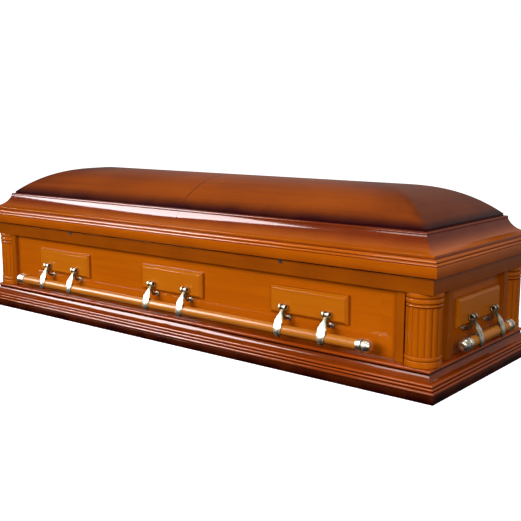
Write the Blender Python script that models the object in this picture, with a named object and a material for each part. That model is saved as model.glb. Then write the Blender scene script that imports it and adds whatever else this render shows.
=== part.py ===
"""Wooden casket with a domed lid in two halves, fluted corner columns and swing-bar handles.

Metres, +Z up. X runs along the casket with the head end at -X, the front faces -Y,
and the origin is on the floor under the middle. Run it in Blender 4.5.
"""

import math

import bmesh
import bpy
from mathutils import Matrix, Vector

# Clearance between two pieces that touch
GAP = 0.0003

# Case, measured over the flat faces of its panels
CASE_LENGTH = 2.008
CASE_WIDTH = 0.616
BOARD = 0.020
SIDE_HEIGHT = 0.2179

# Corner notches that hold the columns. The stile is the proud edge beside each notch,
# and on the long sides it reaches past the notch's wall, with a bevel behind
STILE_PROUD = 0.016
STILE_WIDTH = 0.027
STILE_LIP = 0.0125
STILE_LIP_BEVEL = 0.024
NOTCH_ALONG_SIDE = 0.0985
NOTCH_ALONG_END = 0.113

# Base frame and its moulding. Every overhang is measured out from the panel faces
BASE_HEIGHT = 0.0896
BASE_LEDGE = 0.0207
BASE_NOSING = 0.0053
BASE_COVE_OUT = 0.0188
BASE_COVE_DROP = 0.0240
BASE_BEADS = ((0.0080, 0.0035), (0.0070, 0.0035), (0.0100, 0.0049))
BASE_FASCIA_EASE = 0.002
BASE_SKIRT = 0.024
BASE_PLATE = 0.022
BASE_MARGIN = 0.006

# Bottom board, let into the base frame
BOTTOM_BOARD = 0.011
BOTTOM_REBATE = 0.018

# Top rail and the lip that the lid rests on
RAIL_HEIGHT = 0.0447
RAIL_OVERHANG = 0.030
LIP_HEIGHT = 0.0052
LIP_OVERHANG = 0.011

# Lid frame: flat band, two beads, cove and nosing, from the bottom up
LID_BAND_OVERHANG = 0.0462
LID_BAND_HEIGHT = 0.0325
LID_BEADS = ((0.0085, 0.0080), (0.0058, 0.0067))
LID_BAND_STEP = 0.0015
LID_FILLET = 0.0106
LID_COVE_HEIGHT = 0.0469
LID_COVE_IN = 0.0545
LID_COVE_SAG = 0.0102
LID_NOSING = 0.0085
LID_WALL = 0.024
LID_SILL = 0.0460
SEAM_GAP = 0.0016
SEAM_WALL = 0.018

# Domed crown of the lid
CROWN_SETBACK = 0.0355
CROWN_FOOT = 0.0067
CROWN_RISE = 0.100
CROWN_END_RUN = 0.285
CROWN_FULLNESS = 2.6
CROWN_WALL = 0.018

# Quirk: the small groove under a bead
QUIRK = 0.002

# Corner columns
COLUMN_RADIUS = 0.0535
COLUMN_SETBACK = 0.0260
COLUMN_FLUTES = 16
FLUTE_DEPTH = 0.0020
RING_RADIUS = 0.0552
RING_GROOVE = 0.003
FOOT_RINGS = (0.0190, 0.0110)
HEAD_RINGS = (0.0060, 0.0120, 0.0130)
RING_SPACING = 0.0045

# Raised plaques behind the handles
PLAQUE_LENGTH = 0.2950
PLAQUE_HEIGHT = 0.090
PLAQUE_DEPTH = 0.020
PLAQUE_CHAMFER = 0.0045
PLAQUE_EDGE = 0.009
PLAQUE_BOTTOM = 0.0860
PLAQUE_SPACING = 0.596

# Swing handles. Outward distances run from the panel face, heights from the top of the base
PIVOT_OUT = 0.0320
PIVOT_UP = 0.1130
POLE_OUT = 0.047
POLE_UP = 0.0444
POLE_RADIUS = 0.0158
POLE_HALF_LONG = 0.858
POLE_HALF_SHORT = 0.180
CAP_RADIUS = 0.0208
CAP_LENGTH = 0.057
ARM_SPREAD = 0.083
END_ARM_SPREAD = 0.078
ARM_WIDTH = 0.030
ARM_THICKNESS = 0.0065
COLLAR_WIDTH = 0.013
COLLAR_WALL = 0.0035
CHEEK_RADIUS = 0.0105
CHEEK_WIDTH = 0.0078
KNUCKLE_WIDTH = 0.0100
KNUCKLE_RADIUS = 0.0070
EAR_ROD = 0.0045
EAR_FOOT_UP = 0.0730
EAR_PLATE = 0.0100
EAR_PLATE_DEPTH = 0.0045

# Long hinge at the back of the lid
HINGE_PIN = 0.0025
HINGE_KNUCKLE = 0.060
HINGE_END_MARGIN = 0.090

# Lifting tabs at the parting line, one on each side of the seam
TAB_FROM_SEAM = 0.515
TAB_LENGTH = 0.044
TAB_WIDTH = 0.014
TAB_DROP = 0.014

# Levels and half sizes that the pieces share
HALF_LENGTH = CASE_LENGTH / 2
HALF_WIDTH = CASE_WIDTH / 2
RAIL_BOTTOM = BASE_HEIGHT + SIDE_HEIGHT
RAIL_TOP = RAIL_BOTTOM + RAIL_HEIGHT
LID_BOTTOM = RAIL_TOP + LIP_HEIGHT + GAP
NOTCH_X = HALF_LENGTH + STILE_PROUD - NOTCH_ALONG_SIDE
NOTCH_Y = HALF_WIDTH + STILE_PROUD - NOTCH_ALONG_END
HINGE_Y = HALF_WIDTH + LID_BAND_OVERHANG + HINGE_PIN + GAP
HINGE_Z = (RAIL_TOP + LID_BOTTOM) / 2
PIVOT_Z = BASE_HEIGHT + PIVOT_UP
HINGE_LEAF = LIP_HEIGHT * 0.29
HINGE_LEAF_Y = HALF_WIDTH + LIP_OVERHANG + GAP
TAB_PLATE = LIP_HEIGHT * 0.31
POLE_DROP = PIVOT_UP - POLE_UP
POLE_FORWARD = POLE_OUT - PIVOT_OUT
EAR_BEND_OUT = PLAQUE_DEPTH + EAR_ROD + 0.0005

# Colour, roughness and metallic value of each finish
FINISHES = {
    "front_wood": ((0.37, 0.085, 0.006), 0.22, 0.0),
    "moulding_wood": ((0.30, 0.055, 0.010), 0.20, 0.0),
    "crown_wood": ((0.26, 0.060, 0.012), 0.18, 0.0),
    "inside_wood": ((0.42, 0.20, 0.07), 0.45, 0.0),
    "pale_brass": ((0.80, 0.72, 0.50), 0.28, 1.0),
    "dark_metal": ((0.03, 0.02, 0.015), 0.45, 1.0),
}


def clear_scene():
    for item in list(bpy.data.objects):
        bpy.data.objects.remove(item, do_unlink=True)


def finish_material(name, finish):
    """A material for one piece, with the colour of its finish."""
    colour, roughness, metallic = FINISHES[finish]
    material = bpy.data.materials.new(name + "_" + finish)
    material.use_nodes = True
    shader = material.node_tree.nodes["Principled BSDF"]
    shader.inputs["Base Color"].default_value = (*colour, 1.0)
    shader.inputs["Roughness"].default_value = roughness
    shader.inputs["Metallic"].default_value = metallic
    return material


def mesh_from(form, name):
    """The mesh of a bmesh, cleaned and with its faces pointing out."""
    bmesh.ops.remove_doubles(form, verts=form.verts, dist=1e-6)
    bmesh.ops.dissolve_degenerate(form, edges=form.edges, dist=1e-7)
    bmesh.ops.recalc_face_normals(form, faces=form.faces)
    mesh = bpy.data.meshes.new(name)
    form.to_mesh(mesh)
    form.free()
    return mesh


def place(name, mesh, finish, location=(0, 0, 0), parent=None, smooth=False):
    """One piece of the casket as an object. The location is in its parent's frame."""
    if mesh.users:
        item_mesh = mesh.copy()
    else:
        item_mesh = mesh
    item_mesh.name = name
    item_mesh.materials.clear()
    item_mesh.materials.append(finish_material(name, finish))
    if smooth:
        item_mesh.shade_smooth()
        item_mesh.set_sharp_from_angle(angle=math.radians(35))
    item = bpy.data.objects.new(name, item_mesh)
    item.location = location
    item.parent = parent
    bpy.context.scene.collection.objects.link(item)
    return item


def axis_empty(name, location, turn=0.0):
    """An empty on a joint's axis, which carries the pieces that swing about it."""
    empty = bpy.data.objects.new(name, None)
    empty.location = location
    empty.rotation_euler = (0, 0, turn)
    empty.empty_display_size = 0.05
    bpy.context.scene.collection.objects.link(empty)
    return empty


def combined(meshes, cutters, name):
    """One mesh from closed ones that overlap, by Boolean unions, less the cutters."""
    base = bpy.data.objects.new(name, meshes[0])
    bpy.context.scene.collection.objects.link(base)
    tools = []
    steps = [("UNION", mesh) for mesh in meshes[1:]] + [("DIFFERENCE", mesh) for mesh in cutters]
    for operation, mesh in steps:
        tool = bpy.data.objects.new(name + "_tool", mesh)
        tool.hide_render = True
        tool.display_type = "WIRE"
        bpy.context.scene.collection.objects.link(tool)
        boolean = base.modifiers.new("boolean", "BOOLEAN")
        boolean.operation = operation
        boolean.solver = "EXACT"
        boolean.object = tool
        tools.append(tool)
    bpy.context.view_layer.update()
    graph = bpy.context.evaluated_depsgraph_get()
    result = bpy.data.meshes.new_from_object(base.evaluated_get(graph))
    for item in [base, *tools]:
        bpy.data.objects.remove(item, do_unlink=True)
    form = bmesh.new()
    form.from_mesh(result)
    bmesh.ops.remove_doubles(form, verts=form.verts, dist=2e-6)
    bmesh.ops.dissolve_degenerate(form, edges=form.edges, dist=1e-6)
    flat = math.radians(0.5)
    bmesh.ops.dissolve_limit(form, angle_limit=flat, verts=form.verts, edges=form.edges)
    bmesh.ops.triangulate(form, faces=form.faces, ngon_method="EAR_CLIP")
    form.to_mesh(result)
    form.free()
    return result


def arc(start, end, sag, steps):
    """Points of a circular arc from start to end, past start. A positive sag bulges to its left."""
    chord = Vector(end) - Vector(start)
    half = chord.length / 2
    radius = (half * half + sag * sag) / (2 * abs(sag))
    turn = 2 * math.asin(min(1.0, half / radius))
    left = Vector((-chord.y, chord.x)).normalized() * math.copysign(1, sag)
    centre = (Vector(start) + Vector(end)) / 2 + left * (abs(sag) - radius)
    points = []
    for step in range(1, steps + 1):
        angle = turn * (step / steps - 0.5)
        along = chord.normalized() * math.sin(angle) * radius
        points.append(tuple(centre + along + left * math.cos(angle) * radius))
    return points


def bead_run(point, beads, steps):
    """Half-round beads one under the other, each further out, with a quirk under each."""
    points = []
    n, z = point
    for height, advance in beads:
        foot = (n + advance, z - height)
        points += arc((n, z), foot, height * 0.42, steps)
        n, z = foot[0], foot[1] - QUIRK
        points += [(n - QUIRK / 2, foot[1]), (n - QUIRK / 2, z), (n, z)]
    return points[:-1]


def bridged(form, rings, closed):
    """Quads between rings of equally many points, and from the last to the first if closed."""
    rows = [[form.verts.new(point) for point in ring] for ring in rings]
    pairs = list(zip(rows, rows[1:]))
    if closed:
        pairs.append((rows[-1], rows[0]))
    for low, high in pairs:
        for here, a in enumerate(low):
            beyond = (here + 1) % len(low)
            form.faces.new((a, low[beyond], high[beyond], high[here]))
    return rows


def mitred_frame(profile, name):
    """A rectangular frame of one profile, mitred at its corners. Profile points are (out, height)."""
    rings = []
    for out, z in profile:
        x, y = HALF_LENGTH + out, HALF_WIDTH + out
        rings.append([(x, -y, z), (x, y, z), (-x, y, z), (-x, -y, z)])
    form = bmesh.new()
    bridged(form, rings, closed=True)
    return mesh_from(form, name)


def prism(outline, low, high, name, tiles=None):
    """An upright prism over a flat outline. Tiles split its ends into convex faces, by point."""
    form = bmesh.new()
    bottom = [form.verts.new((x, y, low)) for x, y in outline]
    top = [form.verts.new((x, y, high)) for x, y in outline]
    for tile in tiles or [range(len(outline))]:
        form.faces.new([bottom[here] for here in tile])
        form.faces.new([top[here] for here in tile])
    for here in range(len(outline)):
        beyond = (here + 1) % len(outline)
        form.faces.new((bottom[here], bottom[beyond], top[beyond], top[here]))
    return mesh_from(form, name)


def block(low, high, name):
    """A box between two corners."""
    outline = [(low[0], low[1]), (high[0], low[1]), (high[0], high[1]), (low[0], high[1])]
    return prism(outline, low[2], high[2], name)


def turned(profile, sides, name, matrix=None):
    """A closed turned shape about local Z. Profile points are (radius, height), bottom to top."""
    form = bmesh.new()
    angles = [2 * math.pi * side / sides for side in range(sides)]
    rings = [[(r * math.cos(a), r * math.sin(a), z) for a in angles] for r, z in profile]
    rows = bridged(form, rings, closed=False)
    form.faces.new(rows[0])
    form.faces.new(rows[-1])
    if matrix:
        bmesh.ops.transform(form, matrix=matrix, verts=form.verts)
    return mesh_from(form, name)


# Axis of a turned shape laid along X
ALONG_X = Matrix.Rotation(math.pi / 2, 4, "Y")


def rod_along_x(radius, low, high, sides, centre, name):
    """A round rod along X, with its axis at (y, z)."""
    shift = Matrix.Translation((0, centre[0], centre[1]))
    return turned([(radius, low), (radius, high)], sides, name, shift @ ALONG_X)


def base_profile():
    """Cross-section of the base frame: moulded skirt outside, flat plate inside."""
    nose_foot = BASE_HEIGHT - 2 * BASE_NOSING
    cove_foot = (BASE_LEDGE + BASE_COVE_OUT, nose_foot - BASE_COVE_DROP)
    points = [(BASE_LEDGE, BASE_HEIGHT)]
    points += arc(points[-1], (BASE_LEDGE, nose_foot), BASE_NOSING, 4)
    points += arc(points[-1], cove_foot, -BASE_COVE_DROP * 0.2, 3)
    points += bead_run(cove_foot, BASE_BEADS, 3)
    face = points[-1][0] + QUIRK
    fascia_top = points[-1][1]
    points.append((face, fascia_top))
    points.append((face, BASE_FASCIA_EASE))
    points.append((face - BASE_FASCIA_EASE, 0))
    skirt = face - BASE_SKIRT
    plate_bottom = BASE_HEIGHT - BASE_PLATE
    points.append((skirt, 0))
    points.append((skirt, fascia_top))
    points.append((BASE_LEDGE - BASE_SKIRT, plate_bottom))
    return points


def base_inner():
    """Reach of the base plate and of the rebate above its edge, inwards from the panel faces."""
    reach = max(NOTCH_ALONG_SIDE, NOTCH_ALONG_END) - STILE_PROUD + BOARD + BASE_MARGIN
    return reach, reach - BOTTOM_REBATE


def make_base():
    reach, rebate = base_inner()
    rebate_z = BASE_HEIGHT - BOTTOM_BOARD - 2 * GAP
    profile = base_profile()
    profile += [(-reach, BASE_HEIGHT - BASE_PLATE), (-reach, rebate_z)]
    profile += [(-rebate, rebate_z), (-rebate, BASE_HEIGHT)]
    place("base_moulding", mitred_frame(profile, "base"), "moulding_wood")
    x = HALF_LENGTH - rebate - GAP
    y = HALF_WIDTH - rebate - GAP
    low = (-x, -y, rebate_z + GAP)
    high = (x, y, rebate_z + GAP + BOTTOM_BOARD)
    place("bottom_board", block(low, high, "bottom"), "inside_wood")


def mirrored_outline(half):
    """A closed outline from its right half, which runs from the middle back to the middle."""
    return half + [(-x, y) for x, y in reversed(half)]


def mirrored_tiles(half_tiles, count):
    """Convex tiles of a mirrored outline, from those of its right half of count points."""
    last = 2 * count - 1
    left = [tuple(last - here for here in tile) for tile in half_tiles]
    return [*half_tiles, *left, (0, count - 1, count, last)]


def make_sides():
    """Front, back and end boards. Each ends in a proud stile and the wall of a corner notch."""
    low = BASE_HEIGHT + GAP
    high = RAIL_BOTTOM - GAP
    wall_x = NOTCH_X - BOARD
    wall_y = NOTCH_Y - BOARD
    for name, turn in (("front_board", 1), ("back_board", -1)):
        stile_face = -HALF_WIDTH - STILE_PROUD
        stile_edge = NOTCH_X + STILE_LIP
        half = [
            (stile_edge - STILE_WIDTH, -HALF_WIDTH),
            (stile_edge - STILE_WIDTH, stile_face),
            (stile_edge, stile_face),
            (NOTCH_X, stile_face + STILE_LIP_BEVEL),
            (NOTCH_X, -NOTCH_Y - GAP),
            (wall_x, -NOTCH_Y - GAP),
            (wall_x, -HALF_WIDTH + BOARD),
        ]
        outline = [(x, y * turn) for x, y in mirrored_outline(half)]
        tiles = mirrored_tiles([(0, 1, 2, 3), (0, 3, 6), (3, 4, 5, 6)], len(half))
        place(name, prism(outline, low, high, name, tiles), "front_wood")
    for name, turn in (("foot_end_board", 1), ("head_end_board", -1)):
        half = [
            (NOTCH_Y - STILE_WIDTH, HALF_LENGTH),
            (NOTCH_Y - STILE_WIDTH, HALF_LENGTH + STILE_PROUD),
            (NOTCH_Y, HALF_LENGTH + STILE_PROUD),
            (NOTCH_Y, wall_x),
            (wall_y, wall_x),
            (wall_y, HALF_LENGTH - BOARD),
        ]
        outline = [(x * turn, y) for y, x in mirrored_outline(half)]
        tiles = mirrored_tiles([(0, 1, 2, 5), (2, 3, 4, 5)], len(half))
        place(name, prism(outline, low, high, name, tiles), "front_wood")


def make_rail():
    """Top rail with its lip, and a block over each corner notch."""
    profile = [
        (-BOARD, RAIL_BOTTOM),
        (RAIL_OVERHANG, RAIL_BOTTOM),
        (RAIL_OVERHANG, RAIL_TOP),
        (LIP_OVERHANG, RAIL_TOP),
        (LIP_OVERHANG, RAIL_TOP + LIP_HEIGHT),
        (-BOARD, RAIL_TOP + LIP_HEIGHT),
    ]
    shapes = [mitred_frame(profile, "rail")]
    x_low, x_high = NOTCH_X - BOARD, HALF_LENGTH - BOARD / 2
    y_low, y_high = NOTCH_Y - BOARD, HALF_WIDTH - BOARD / 2
    for sx in (-1, 1):
        for sy in (-1, 1):
            xs = sorted((sx * x_low, sx * x_high))
            ys = sorted((sy * y_low, sy * y_high))
            shapes.append(block((xs[0], ys[0], RAIL_BOTTOM), (xs[1], ys[1], RAIL_TOP), "corner"))
    place("top_rail", combined(shapes, [], "top_rail"), "front_wood")


def column_profile():
    """Rings and shaft of a column as (radius, height, fluted), foot to head."""
    height = SIDE_HEIGHT - 2 * GAP
    groove = RING_RADIUS - RING_GROOVE
    rows = []
    z = 0.0
    for tall in FOOT_RINGS:
        rows += [(RING_RADIUS, z, False), (RING_RADIUS, z + tall - RING_SPACING / 2, False)]
        rows.append((groove, z + tall, False))
        z += tall + RING_SPACING / 2
    rows.append((COLUMN_RADIUS, z, True))
    z = height - sum(HEAD_RINGS) - RING_SPACING * len(HEAD_RINGS)
    rows.append((COLUMN_RADIUS, z, True))
    for tall in HEAD_RINGS:
        rows.append((groove, z + RING_SPACING / 2, False))
        rows += [(RING_RADIUS, z + RING_SPACING, False), (RING_RADIUS, z + RING_SPACING + tall, False)]
        z += RING_SPACING + tall
    return rows


def column_mesh():
    """A column whose plain rings have half as many sides as the fluted shaft."""
    form = bmesh.new()
    rows = []
    for radius, z, fluted in column_profile():
        sides = 2 * COLUMN_FLUTES if fluted else COLUMN_FLUTES
        row = []
        for side in range(sides):
            r = radius - FLUTE_DEPTH * (side % 2) if fluted else radius
            angle = 2 * math.pi * side / sides
            row.append(form.verts.new((r * math.cos(angle), r * math.sin(angle), z)))
        rows.append(row)
    for low, high in zip(rows, rows[1:]):
        for side in range(COLUMN_FLUTES):
            edge = [high[(side + 1) * len(high) // COLUMN_FLUTES % len(high)]]
            if len(high) > COLUMN_FLUTES:
                edge.append(high[2 * side + 1])
            edge.append(high[side * len(high) // COLUMN_FLUTES])
            foot = [low[side * len(low) // COLUMN_FLUTES]]
            if len(low) > COLUMN_FLUTES:
                foot.append(low[2 * side + 1])
            foot.append(low[(side + 1) * len(low) // COLUMN_FLUTES % len(low)])
            if len(edge) == len(foot) == 3:
                form.faces.new((foot[0], foot[1], edge[1], edge[2]))
                form.faces.new((foot[1], foot[2], edge[0], edge[1]))
            elif len(edge) == 3:
                form.faces.new((foot[0], foot[1], edge[1]))
                form.faces.new((foot[0], edge[1], edge[2]))
                form.faces.new((foot[1], edge[0], edge[1]))
            elif len(foot) == 3:
                form.faces.new((foot[1], edge[0], edge[1]))
                form.faces.new((foot[0], foot[1], edge[1]))
                form.faces.new((foot[1], foot[2], edge[0]))
            else:
                form.faces.new((*foot, *edge))
    form.faces.new(rows[0])
    form.faces.new(rows[-1])
    return mesh_from(form, "column")


def make_columns():
    mesh = column_mesh()
    x = HALF_LENGTH - COLUMN_SETBACK
    y = HALF_WIDTH - COLUMN_SETBACK
    for end, sx in (("head", -1), ("foot", 1)):
        for side, sy in (("front", -1), ("back", 1)):
            spot = (sx * x, sy * y, BASE_HEIGHT + GAP)
            place(f"column_{side}_{end}", mesh, "front_wood", spot, smooth=True)


def plaque_mesh():
    """A raised plaque: a low edge, then a chamfer up to its flat face. It faces -Y."""
    form = bmesh.new()
    rings = []
    for inset, out in ((0, GAP), (0, PLAQUE_EDGE), (PLAQUE_CHAMFER, PLAQUE_DEPTH)):
        x = PLAQUE_LENGTH / 2 - inset
        low, high = inset, PLAQUE_HEIGHT - inset
        rings.append([(-x, -out, low), (x, -out, low), (x, -out, high), (-x, -out, high)])
    rows = bridged(form, rings, closed=False)
    form.faces.new(rows[0])
    form.faces.new(rows[-1])
    return mesh_from(form, "plaque")


def faces_of_case():
    """Each side of the case: name, middle of its panel face, turn, and its stations along it."""
    long_stations = (("head", -PLAQUE_SPACING), ("middle", 0.0), ("foot", PLAQUE_SPACING))
    back_stations = tuple((name, -along) for name, along in long_stations)
    return (
        ("front", (0, -HALF_WIDTH), 0.0, long_stations),
        ("back", (0, HALF_WIDTH), math.pi, back_stations),
        ("foot_end", (HALF_LENGTH, 0), math.pi / 2, (("", 0.0),)),
        ("head_end", (-HALF_LENGTH, 0), -math.pi / 2, (("", 0.0),)),
    )


def joined_name(*words):
    return "_".join(word for word in words if word)


def make_plaques():
    mesh = plaque_mesh()
    for side, middle, turn, stations in faces_of_case():
        for station, along in stations:
            x = middle[0] + along * math.cos(turn)
            y = middle[1] + along * math.sin(turn)
            spot = (x, y, BASE_HEIGHT + PLAQUE_BOTTOM)
            item = place(joined_name("plaque", side, station), mesh, "front_wood", spot)
            item.rotation_euler = (0, 0, turn)


def pole_mesh(half):
    """A round pole along X with a turned cap on each end, centred on its own axis."""
    collar = CAP_LENGTH * 0.42
    cap_start = half - CAP_LENGTH
    half_profile = [
        (POLE_RADIUS, cap_start),
        (CAP_RADIUS * 0.94, cap_start),
        (CAP_RADIUS * 0.94, cap_start + collar),
        (CAP_RADIUS * 0.82, cap_start + collar + 0.003),
        (CAP_RADIUS, cap_start + collar + 0.009),
        (CAP_RADIUS, half - 0.011),
        (CAP_RADIUS * 0.62, half),
    ]
    profile = [(r, -z) for r, z in reversed(half_profile)] + half_profile
    return turned(profile, 12, "pole", ALONG_X)


def loft(sections, name):
    """A closed form through flat sections of equally many points."""
    form = bmesh.new()
    rows = bridged(form, sections, closed=False)
    form.faces.new(rows[0])
    form.faces.new(rows[-1])
    return mesh_from(form, name)


def arm_body(width, name):
    """The leaf of an arm, from its neck under the pivot to its tail under the pole.

    It is centred on the pivot's axis: x across, -y outward, z up. Each station has its place
    along the way as (outward, down), the share of the full width, and the share of the thickness.
    """
    front = POLE_FORWARD + POLE_RADIUS + COLLAR_WALL
    stations = (
        (0.0040, 0.0074, 0.60, 1.0),
        (front * 0.50, POLE_DROP * 0.44, 0.82, 1.0),
        (front * 0.78, POLE_DROP * 0.70, 1.00, 1.0),
        (front * 0.98, POLE_DROP, 0.80, 1.0),
        (front * 0.95, POLE_DROP + POLE_RADIUS * 0.95, 0.50, 0.9),
        (front * 0.86, POLE_DROP + POLE_RADIUS + 0.0055, 0.36, 0.7),
    )
    sections = []
    for here, (out, down, wide, thick) in enumerate(stations):
        before = stations[max(here - 1, 0)]
        after = stations[min(here + 1, len(stations) - 1)]
        run = Vector((-(after[0] - before[0]), -(after[1] - before[1]))).normalized()
        across = Vector((-run.y, run.x)) * ARM_THICKNESS * thick / 2
        half = width * wide / 2
        y, z = -out, -down
        sections.append([
            (-half, y, z),
            (-half * 0.5, y - across.x, z - across.y),
            (half * 0.5, y - across.x, z - across.y),
            (half, y, z),
            (half * 0.5, y + across.x, z + across.y),
            (-half * 0.5, y + across.x, z + across.y),
        ])
    return loft(sections, name)


def arm_mesh():
    """A swing arm: two cheeks on the pivot, a leaf, and the collar round the pole."""
    shapes = [arm_body(ARM_WIDTH, "arm")]
    inner = KNUCKLE_WIDTH / 2 + GAP
    for side in (-1, 1):
        low, high = sorted((side * inner, side * (inner + CHEEK_WIDTH)))
        shapes.append(rod_along_x(CHEEK_RADIUS, low, high, 8, (0, 0), "cheek"))
    pole_axis = (-POLE_FORWARD, -POLE_DROP)
    collar = POLE_RADIUS + COLLAR_WALL
    half = COLLAR_WIDTH / 2
    shapes.append(rod_along_x(collar, -half, half, 8, pole_axis, "collar"))
    bore = (POLE_RADIUS + GAP) / math.cos(math.pi / 8)
    bores = [rod_along_x(bore, -ARM_WIDTH, ARM_WIDTH, 8, pole_axis, "bore")]
    return combined(shapes, bores, "arm")


def plain_arm_mesh():
    """A plain arm for the back: two cheeks and a flat strip that runs down to the pole."""
    inner = KNUCKLE_WIDTH / 2 + GAP
    outer = inner + CHEEK_WIDTH
    neck = (-CHEEK_RADIUS * 0.85, -CHEEK_RADIUS * 0.50)
    reach = -POLE_FORWARD - POLE_RADIUS * 0.9
    strip = []
    for y, z, half in ((*neck, outer * 0.8), (reach, -POLE_DROP, ARM_WIDTH * 0.4)):
        depth = ARM_THICKNESS / 2
        strip.append([(-half, y - depth, z), (half, y - depth, z), (half, y + depth, z), (-half, y + depth, z)])
    shapes = [loft(strip, "strip")]
    for side in (-1, 1):
        low, high = sorted((side * inner, side * outer))
        shapes.append(rod_along_x(CHEEK_RADIUS, low, high, 6, (0, 0), "cheek"))
    return combined(shapes, [], "plain_arm")


def ear_mesh():
    """An ear: a round plate on the panel, a rod up and out of it, and the knuckle of the pivot."""
    foot_drop = PIVOT_UP - EAR_FOOT_UP
    plate = Matrix.Translation((0, PIVOT_OUT, -foot_drop)) @ Matrix.Rotation(math.pi / 2, 4, "X")
    half = KNUCKLE_WIDTH / 2
    shapes = [rod_along_x(KNUCKLE_RADIUS, -half, half, 8, (0, 0), "knuckle")]
    shapes.append(turned([(EAR_PLATE, GAP), (EAR_PLATE * 0.8, EAR_PLATE_DEPTH)], 6, "plate", plate))
    start = Vector((0, PIVOT_OUT - EAR_PLATE_DEPTH * 0.8, -foot_drop))
    bend = Vector((0, PIVOT_OUT - EAR_BEND_OUT, -foot_drop * 0.88))
    end = Vector((0, 0.001, -0.001))
    path = (start, bend, end)
    sections = []
    for here, point in enumerate(path):
        run = path[min(here + 1, 2)] - path[max(here - 1, 0)]
        side = Vector((0, -run.z, run.y)).normalized() * EAR_ROD
        ring = []
        for step in range(4):
            angle = math.pi * (step + 0.5) / 2
            x = Vector((EAR_ROD * math.cos(angle), 0, 0))
            ring.append(tuple(point + x + side * math.sin(angle)))
        sections.append(ring)
    shapes.append(loft(sections, "rod"))
    return combined(shapes, [], "ear")


def with_arms(pole, arm, places):
    """A pole with its arms fused on at places along X."""
    form = bmesh.new()
    for x in places:
        copy = arm.copy()
        copy.transform(Matrix.Translation((x, 0, 0)))
        form.from_mesh(copy)
    arms = bpy.data.meshes.new("arms")
    form.to_mesh(arms)
    form.free()
    return combined([pole, arms], [], "pole_with_arms")


def make_handles():
    """Ears on the panels, and on each side a pole in its arms that swings about the ears."""
    arm = arm_mesh()
    plain_arm = plain_arm_mesh()
    ear = ear_mesh()
    for side, middle, turn, stations in faces_of_case():
        x = middle[0] + PIVOT_OUT * math.sin(turn)
        y = middle[1] - PIVOT_OUT * math.cos(turn)
        empty = axis_empty("axis_" + side + "_handle", (x, y, PIVOT_Z), turn)
        half, reach = POLE_HALF_LONG, ARM_SPREAD
        if len(stations) == 1:
            half, reach = POLE_HALF_SHORT, END_ARM_SPREAD
        pole = pole_mesh(half)
        pole.transform(Matrix.Translation((0, -POLE_FORWARD, -POLE_DROP)))
        places = []
        for station, along in stations:
            for hand, spread in (("a", -reach), ("b", reach)):
                label = joined_name(side, station, hand)
                local = (along + spread, 0, 0)
                places.append(local[0])
                place("ear_" + label, ear, "pale_brass", local, empty, smooth=True)
                if side != "back":
                    place("arm_" + label, arm, "pale_brass", local, empty, smooth=True)
        if side == "back":
            pole = with_arms(pole, plain_arm, places)
        place("pole_" + side, pole, "front_wood", (0, 0, 0), empty, smooth=True)


def lid_rings(rows, seam, sign):
    """Rings of a lid half from rows of (half length, half width, height, seam side).

    Each ring runs round the open front, end and back. Its seam side stands at seam.
    """
    rings = []
    for x, y, z, inset in rows:
        near = sign * (seam + inset)
        far = sign * x
        rings.append([(near, -y, z), (far, -y, z), (far, y, z), (near, y, z)])
    return rings


def lid_frame_rows():
    """Closed section of a lid frame, from the band's foot up the outside and down the inside."""
    band = LID_BAND_OVERHANG
    bead_height = sum(height for height, _ in LID_BEADS) + QUIRK * (len(LID_BEADS) - 1)
    bead_top = LID_BOTTOM + LID_BAND_HEIGHT + bead_height + QUIRK
    bead_start = (band - sum(advance for _, advance in LID_BEADS) - LID_BAND_STEP, bead_top)
    cove_foot = (bead_start[0], bead_top + LID_FILLET)
    cove_head = (cove_foot[0] - LID_COVE_IN, cove_foot[1] + LID_COVE_HEIGHT)
    top = cove_head[1] + LID_NOSING
    ledge = (cove_head[0] - LID_NOSING * 0.3, top)
    down = [ledge]
    down += arc(ledge, cove_head, LID_NOSING * 0.22, 3)
    down += arc(cove_head, cove_foot, -LID_COVE_SAG, 4)
    down.append(bead_start)
    down += bead_run(bead_start, LID_BEADS, 3)
    down += [(band, down[-1][1]), (band, LID_BOTTOM + QUIRK / 2), (band - QUIRK / 2, LID_BOTTOM)]
    sill = band - LID_SILL
    up = [
        (sill, LID_BOTTOM),
        (sill, LID_BOTTOM + LID_BAND_HEIGHT * 0.8),
        (cove_foot[0] - LID_WALL, bead_top + LID_FILLET * 0.3),
        (-CROWN_SETBACK - CROWN_WALL, cove_head[1] - LID_WALL * 0.5),
        (-CROWN_SETBACK - CROWN_WALL, top),
    ]
    return down, up, top


def crown_rows(wall, steps, foot_z):
    """Rows of the dome's surface, or of its inner face when wall is the thickness."""
    half_length = HALF_LENGTH - CROWN_SETBACK - wall
    half_width = HALF_WIDTH - CROWN_SETBACK - wall
    rows = [(half_length, half_width, foot_z)]
    start = foot_z if wall else foot_z + CROWN_FOOT
    rise = CROWN_RISE if not wall else CROWN_RISE + CROWN_FOOT - wall
    for step in range(0 if not wall else 1, steps + 1):
        t = step / steps
        z = start + rise * (1 - (1 - t) ** CROWN_FULLNESS)
        rows.append((half_length - CROWN_END_RUN * t, half_width * (1 - t), z))
    return rows


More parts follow.
